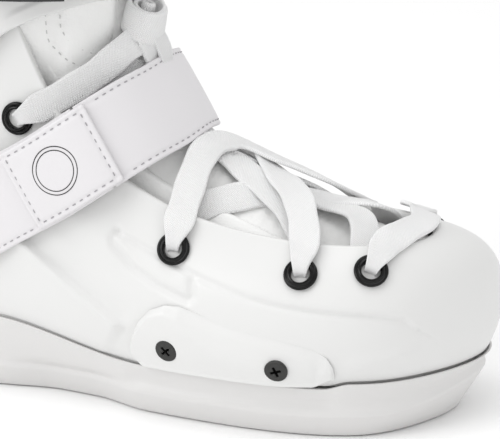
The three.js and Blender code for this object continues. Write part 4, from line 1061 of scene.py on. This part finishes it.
def swell(made, held_to, free_from, cap):
    count = len(made.data.vertices)
    before = np.empty(count * 3, np.float32)
    made.data.vertices.foreach_get("co", before)
    before = before.reshape(-1, 3)
    held = made.vertex_groups.new(name="held")
    for index, weight in enumerate(1 - smoothstep(before[:, 2] / MM, held_to, free_from)):
        held.add([index], float(weight), "REPLACE")
    cloth = made.modifiers.new("foam", "CLOTH")
    cloth.settings.vertex_group_mass = "held"
    cloth.settings.use_pressure = True
    cloth.settings.uniform_pressure_force = FOAM_PRESSURE
    cloth.settings.effector_weights.gravity = 0
    for moment in range(1, FOAM_FRAMES + 1):
        bpy.context.scene.frame_set(moment)
    blown = made.evaluated_get(bpy.context.evaluated_depsgraph_get()).to_mesh()
    after = np.empty(count * 3, np.float32)
    blown.vertices.foreach_get("co", after)
    move = after.reshape(-1, 3) - before
    far = np.linalg.norm(move, axis=1, keepdims=True)
    before += move * np.minimum(1, cap * MM / np.maximum(far, 1e-9))
    made.modifiers.clear()
    made.vertex_groups.clear()
    bpy.context.scene.frame_set(1)
    made.data.vertices.foreach_set("co", before.ravel())
    made.data.update()


tongue = ring_solid("padded_tongue", tongue_rings, spacer_mesh, None, ["tongue"], 180)
swell(tongue, 236, 250, 3)
settle(tongue, "boot to cuff", ["tongue"])

# ---- liner ----
# The soft inner boot: foam between white fabrics. The foot part fills the shell; the padded collar stands in
# the cuff, with a J-shaped seam sewn twice on each side.
LINER_TOP_Z = 283
PIVOT_X, PIVOT_Z = -92, 118
CUFF_HALF_LENGTH = [[100, 71], [172, 63], [285, 60]]
CUFF_HALF_WIDTH = [[100, 44], [165, 42.5], [220, 45], [285, 49]]


def cuff_place(degrees, z, distance):
    degrees, z, distance = np.broadcast_arrays(*(np.asarray(a, float) for a in (degrees, z, distance)))
    length = np.interp(z, *np.array(CUFF_HALF_LENGTH).T) + distance
    width = np.interp(z, *np.array(CUFF_HALF_WIDTH).T) + distance
    angle = np.radians(degrees)
    middle = -80 + (z - PIVOT_Z) * 0.167
    return np.stack([middle + length * np.cos(angle), width * np.sin(angle), z], -1)


liner_fabric = mesh_fabric("white_liner_fabric", "#f3f3f2", 900.0)
liner_u = np.arange(220) / 220
SNUG_IN, SET_IN, LINER_WALL = 5.0, 8.0, 6.0
LINER_BASE_Z = 31.7


def liner_ring(v, thick):
    set_in = SNUG_IN + (SET_IN - SNUG_IN) * float(smoothstep(v, 0.45, 0.62))
    ring = off_wall(liner_u, v, np.full(len(liner_u), -set_in - thick))
    ring[:, 2] = np.maximum(ring[:, 2], LINER_BASE_Z + 2)
    return ring


# The padded edge of the liner stands a little over the edge of the shell along the throat.
def hem_ring(angle):
    x = wall(liner_u, 1)[:, 0]
    rise = 1 + 5 * smoothstep(x, -60, -20) * (1 - smoothstep(x, 40, 80))
    up = unit(wall(liner_u, 1) - wall(liner_u, 0.97))
    base = off_wall(liner_u, 1, np.full(len(liner_u), -SET_IN - 3 + 3 * math.cos(angle)))
    return base + up * (rise + 2.4 * math.sin(angle))[:, None]


heights = [0.26, 0.36, 0.45, 0.54, 0.62, 0.71, 0.8, 0.88, 0.95]
hem = [hem_ring(angle) for angle in np.linspace(0, math.pi, 9)]
foot_rings = ([plan_ring(liner_u, -SNUG_IN, LINER_BASE_Z)] + [liner_ring(v, 0) for v in heights] + hem
              + [liner_ring(v, LINER_WALL) for v in heights[:0:-1]]
              + [plan_ring(liner_u, -SNUG_IN - LINER_WALL, LINER_BASE_Z + LINER_WALL)])
liner_foot = ring_solid("liner_foot_part", foot_rings, liner_fabric, "boot", ["liner_foot"],
                        60)

COLLAR_FRONT = 18
COLLAR_MIDDLE, COLLAR_HALF = -4.2, 3.0
FLAP_TUCK = 3.6


def collar_rings(rows, columns):
    rings = []
    around = np.linspace(0, 2 * math.pi, columns + 1)[:-1]
    for a in np.linspace(0, 1, rows):
        degrees = COLLAR_FRONT + (360 - 2 * COLLAR_FRONT) * a
        ahead = min(degrees, 360 - degrees)
        high = LINER_TOP_Z - 3 - 12 * (1 - ahead / 180)
        end = min(a, 1 - a) * rows
        pinch = math.sqrt(max(0.03, 1 - (1 - min(1, end / 3)) ** 2))
        up = np.sign(np.sin(around)) * np.abs(np.sin(around)) ** 0.16
        across = np.cos(around) * np.abs(np.cos(around)) ** -0.35
        low = 108 + 42 * float(smoothstep(ahead, 75, 115))
        z = low + (high - low) * (0.5 + 0.5 * up)
        flap = 50 + 0.42 * (z - 137)
        tuck = FLAP_TUCK * smoothstep(ahead, flap - 7, flap) * (1 - smoothstep(z, 172, 188)) * (across > 0)
        rings.append(cuff_place(degrees, z, COLLAR_MIDDLE + COLLAR_HALF * across * pinch - tuck))
    return rings


collar = ring_solid("liner_collar", collar_rings(140, 150), liner_fabric, None, ["liner_shaft"],
                    180)
swell(collar, 240, 256, 4)
settle(collar, "boot to cuff", ["liner_shaft"])

# The J-shaped seam on each side of the collar: two rows of thread down from its top edge, turning forwards.
SEAM_LINES = [[[57, 200], [56, 180], [55, 166], [53, 157], [49.5, 153], [44.5, 148.5], [38, 145.5],
               [31, 143.5]],
              [[50.5, 200], [50, 180], [49, 168], [48, 162], [45.2, 158], [42.2, 154.8], [31.5, 150.2],
               [26, 148.6]]]
white_thread = material("white_polyester_thread", "#c9c9c8", 0.75)
for side, side_name in ((-1, "outer"), (1, "inner")):
    rows = []
    for seam in SEAM_LINES:
        line, _ = smooth_line(seam, 160)
        places = cuff_place(side * line[:, 0], line[:, 1], -1.05)
        facing = unit(cuff_place(side * line[:, 0], line[:, 1], 3) - places)
        rows.append(stitch_row(places, facing))
    sew(f"collar_seam_{side_name}", rows, white_thread, "boot to cuff")

# ---- cuff ----
# The white nylon cuff round the ankle, open at the front, with an eased edge and a moulded band along its
# lower edge. It turns on two bolts at the ankle.
CUFF_WALL = 3.5
CUFF_FRONT = 22
CUFF_LOW = [[22, 175], [40, 173], [50, 170.5], [57, 168.5], [66, 164.2], [73, 159.5],
            [88, 140], [98, 112], [108, 102], [122, 103], [140, 114], [180, 120]]
CUFF_HIGH = [[22, 226], [60, 238], [100, 246], [140, 252], [180, 252]]


def soft_interp(x, rows, spread=4.0):
    return sum(np.interp(x + k, *np.array(rows).T) for k in np.linspace(-spread, spread, 9)) / 9


cuff_a = np.linspace(0, 1, 300)
cuff_degrees = CUFF_FRONT + (360 - 2 * CUFF_FRONT) * cuff_a
cuff_ahead = np.minimum(cuff_degrees, 360 - cuff_degrees)
cuff_low = soft_interp(cuff_ahead, CUFF_LOW)
cuff_high = soft_interp(cuff_ahead, CUFF_HIGH)
corner = 9 * (1 - np.sqrt(1 - (1 - np.clip((cuff_ahead - CUFF_FRONT) / 9, 0, 1)) ** 2))
cuff_low = cuff_low + corner
cuff_high = cuff_high - corner
levels = 0.5 - 0.5 * np.cos(np.linspace(0, math.pi, 70))
cuff_out, cuff_in = [], []
for level in levels:
    z = cuff_low + (cuff_high - cuff_low) * level
    near_low, near_high = z - cuff_low, cuff_high - z
    near_front = (cuff_ahead - CUFF_FRONT) * 0.95
    near = np.minimum(np.minimum(near_low, near_high), near_front)
    band = 0.9 * (1 - smoothstep(np.minimum(near_low, near_high), 6.5, 8.5))
    vent = 0.8 * np.exp(-((near_high - 24) / 2.6) ** 4) * smoothstep(cuff_ahead, 112, 120)
    ease = 1.4 * (1 - np.sqrt(1 - (1 - np.clip(near / 1.6, 0, 1)) ** 2))
    cuff_out.append(cuff_place(cuff_degrees, z, CUFF_WALL - 0.9 + band - ease - vent))
    cuff_in.append(cuff_place(cuff_degrees, z, 0.1 + 0.6 * (1 - np.clip(near / 1.2, 0, 1))))
folded_sheet("moulded_cuff", cuff_out, cuff_in, white_nylon, 55, "cuff", "cuff")


# A CAD node's own mesh with its edges eased, where its shape is already that of the real piece.
def eased_copy(name, source, width, finish, body, segments=2):
    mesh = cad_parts[source].data.copy()
    mesh.materials.clear()
    mesh.materials.append(finish)
    made = new_object(name, mesh)
    work = bmesh.new()
    work.from_mesh(mesh)
    bmesh.ops.remove_doubles(work, verts=work.verts, dist=2e-6)
    bmesh.ops.dissolve_limit(work, angle_limit=math.radians(1.5), verts=work.verts, edges=work.edges)
    work.to_mesh(mesh)
    work.free()
    step = made.modifiers.new("eased", "BEVEL")
    step.width = width * MM
    step.segments = segments
    step.limit_method = "ANGLE"
    step.angle_limit = math.radians(38)
    result = baked(made)
    result.shade_smooth()
    result.set_sharp_from_angle(angle=math.radians(50))
    return settle(made, body, [source])


# ---- pivot bolts ----
# Black-oxided steel bolts with wide flat heads and a hexagon socket, which the cuff turns on; thin nuts
# hold them from inside the shell.
PIVOT_HEAD = [[0.02, 1.0], [2.9, 1.0], [3.1, 3.1], [3.5, 3.4], [6.9, 3.25], [8.3, 2.3], [9, 1.4], [9, 0.3],
              [4.5, 0.0], [4.5, -9.5], [0.02, -9.5]]


def cuff_half_width(distance):
    length = np.interp(PIVOT_Z, *np.array(CUFF_HALF_LENGTH).T) + distance
    width = np.interp(PIVOT_Z, *np.array(CUFF_HALF_WIDTH).T) + distance
    return float(width * math.sqrt(1 - ((PIVOT_X + 80) / length) ** 2))


for side, side_name in ((-1, "outer"), (1, "inner")):
    spot = [[PIVOT_X, side * (cuff_half_width(CUFF_WALL) + 0.3), PIVOT_Z]]
    set_pieces(f"pivot_bolt_{side_name}_head", turned("bolt", PIVOT_HEAD, 48, oxided_steel), spot,
               [[0, side, 0]], [[1, 0, 0]], oxided_steel, "boot", [f"pivot_bolt_{side_name}"])
    eased_copy(f"pivot_nut_{side_name}_ring", f"pivot_nut_{side_name}", 0.2, oxided_steel, "boot")

# ---- buckle and toothed strap ----
# A ratchet buckle in glossy black nylon: a base riveted to the cuff, a lever on a steel pin with grip ribs,
# and a flexible strap with moulded teeth, riveted on the inner side of the cuff.
LADDER_Z = 191
LEVER_END = -40
PIN_OFF = 13.75
# Polished black nylon with clear highlights, and bare ground steel for the pin.
black_nylon = material("glossy_black_nylon", "#101011", 0.24, {"Coat Weight": 0.3, "Coat Roughness": 0.12})
steel = material("bright_steel", "#b9b9b8", 0.3, {"Metallic": 1.0})
eased_copy("buckle_base_body", "buckle_base", 0.5, black_nylon, "cuff")
eased_copy("buckle_lever_body", "buckle_lever", 0.7, black_nylon, "buckle_lever", 3)
eased_copy("buckle_pin_rod", "buckle_pin", 0.3, steel, "cuff")


# A bar that follows the cuff, with eased corners, from one angle to another.
def bar_on_cuff(name, start, end, low, high, inside, outside, finish, body, replaced, steps, ease=0.8):
    arc = np.linspace(0, math.pi / 2, 5)
    corners = [(high - ease, outside - ease, 0), (low + ease, outside - ease, 1),
               (low + ease, inside + ease, 2), (high - ease, inside + ease, 3)]
    section = np.array([(z + ease * math.cos(a + k * math.pi / 2), d + ease * math.sin(a + k * math.pi / 2))
                        for z, d, k in corners for a in arc])
    middle = section.mean(0)
    rings = []
    for step in np.linspace(0, 1, steps):
        shrink = 1 - 0.3 * (1 - min(1, min(step, 1 - step) * steps / 1.5)) ** 2
        ring = middle + (section - middle) * [1, shrink]
        rings.append(cuff_place(start + (end - start) * step, ring[:, 0], ring[:, 1]))
    return ring_solid(name, rings, finish, body, replaced, 40)


LADDER_OFF = 6.2
LADDER_THICK = 2.2
LADDER_HALF = 8.5
RIVET_DEGREES, TIP_DEGREES = 58, -88
bar_on_cuff("toothed_strap", RIVET_DEGREES + 8, TIP_DEGREES, LADDER_Z - LADDER_HALF,
            LADDER_Z + LADDER_HALF, LADDER_OFF, LADDER_OFF + LADDER_THICK, black_nylon, "cuff",
            ["ladder_strap"], 120)


# The teeth, one every 3 mm along the strap, set on points along its middle.
def tooth_master():
    section = [(-1.2, 0), (1.2, 0), (0.5, 1.0), (-0.3, 1.0)]
    points = [(x, y, z) for y in (-5.6, 5.6) for x, z in section]
    faces = [[0, 3, 2, 1], [4, 5, 6, 7]] + [[k, (k + 1) % 4, 4 + (k + 1) % 4, 4 + k] for k in range(4)]
    made = piece("tooth", points, faces, black_nylon, 20)
    tidy_faces(made)
    return made


# Teeth or ribs along the cuff, each facing a point farther out on the same ray.
def set_teeth(name, degrees, off, aim_off, body):
    places = cuff_place(degrees, LADDER_Z, off)
    facings = unit(cuff_place(degrees, LADDER_Z, aim_off) - places)
    runs = unit(cuff_place(degrees - 0.5, LADDER_Z, 8) - cuff_place(degrees + 0.5, LADDER_Z, 8))
    set_pieces(name, tooth_master(), places, facings, runs, black_nylon, body, [])


set_teeth("strap_teeth", np.arange(-2, TIP_DEGREES + 5, -2.9), LADDER_OFF + LADDER_THICK - 0.1, 20, "cuff")
set_teeth("lever_grip_ribs", np.linspace(LEVER_END - 3, LEVER_END - 16, 6), PIN_OFF + 3.35, 30,
          "buckle_lever")
spot = cuff_place([RIVET_DEGREES], LADDER_Z, 0)
set_pieces("toothed_strap_rivet", turned("rivet", [[0.02, 10.6], [2.4, 10.5], [4.2, 10.0], [5, 9.2], [5, 8.6],
           [2.5, 8.5], [2.5, 0.2], [0.02, 0.2]], 36, oxided_steel), spot,
           unit(cuff_place([RIVET_DEGREES], LADDER_Z, 20) - spot), [[0, 0, 1]], oxided_steel, "cuff",
           ["ladder_rivet"])

# ---- pull loop ----
# A loop of white polyester webbing, 16 mm wide, sewn behind the top of the liner to pull the boot on by.
# Woven webbing, a shade greyer and coarser than the liner.
webbing = mesh_fabric("white_polyester_webbing", "#e9e9e8", 1100.0)
LOOP_LOW, LOOP_HIGH, LOOP_THICK = LINER_TOP_Z - 26, LINER_TOP_Z - 1, 2.0
loop_rings = []
for a in np.linspace(0, 1, 60):
    inset = LOOP_THICK / 2
    z = LOOP_LOW + inset + (LOOP_HIGH - LOOP_LOW - 2 * inset) * a
    back = float(cuff_place(180, z, -1)[0]) - GAP
    bow = (12 - inset) * math.sin(math.pi * a) ** 0.6 if 0 < a < 1 else 0.0
    loop_rings.append([back - bow, z])
loop_line = np.array(loop_rings)
loop_out = unit(np.gradient(loop_line, axis=0) @ np.array([[0, 1], [-1, 0]]).T)
rings = []
for (x, z), (ox, oz) in zip(loop_line, -loop_out):
    section = [(7.4, -0.9), (8.0, -0.5), (8.0, 0.5), (7.4, 0.9), (0, 1.0), (-7.4, 0.9), (-8.0, 0.5),
               (-8.0, -0.5), (-7.4, -0.9), (0, -1.0)]
    rings.append([[x - ox * d, y, z - oz * d] for y, d in section])
ring_solid("webbing_pull_loop", rings, webbing, "cuff", ["pull_loop"], 60)

# ---- inside the boot ----
# A grey foam shock pad under the liner, a perforated grey foam insole in it, and the two square steel nuts
# that the frame bolts screw into. The foam is dull mid grey with fine cells.
grey_foam = mesh_fabric("grey_eva_foam", "#9b9b9a", 500.0)
insole = eased_copy("foam_insole", "insole", 0.8, grey_foam, "boot")
pad = eased_copy("foam_shock_pad", "shock_pad", 1.0, grey_foam, "boot")
for end in ("front", "rear"):
    eased_copy(f"square_nut_{end}", f"frame_nut_{end}", 0.3, steel, "boot")

# The bores for the frame bolts, through the flat underside of the sole plate.
FRAME_RECESS_R = 7.2
for sign in (-1, 1):
    for radius, depth, z in ((FRAME_BOLT_R, 60, 10), (FRAME_RECESS_R, 4, 0)):
        bpy.ops.mesh.primitive_cylinder_add(vertices=40, radius=radius * MM, depth=depth * MM,
                                            location=(sign * FRAME_BOLT_SPACING / 2 * MM, 0, z * MM))
        cut(sole, bpy.context.object)
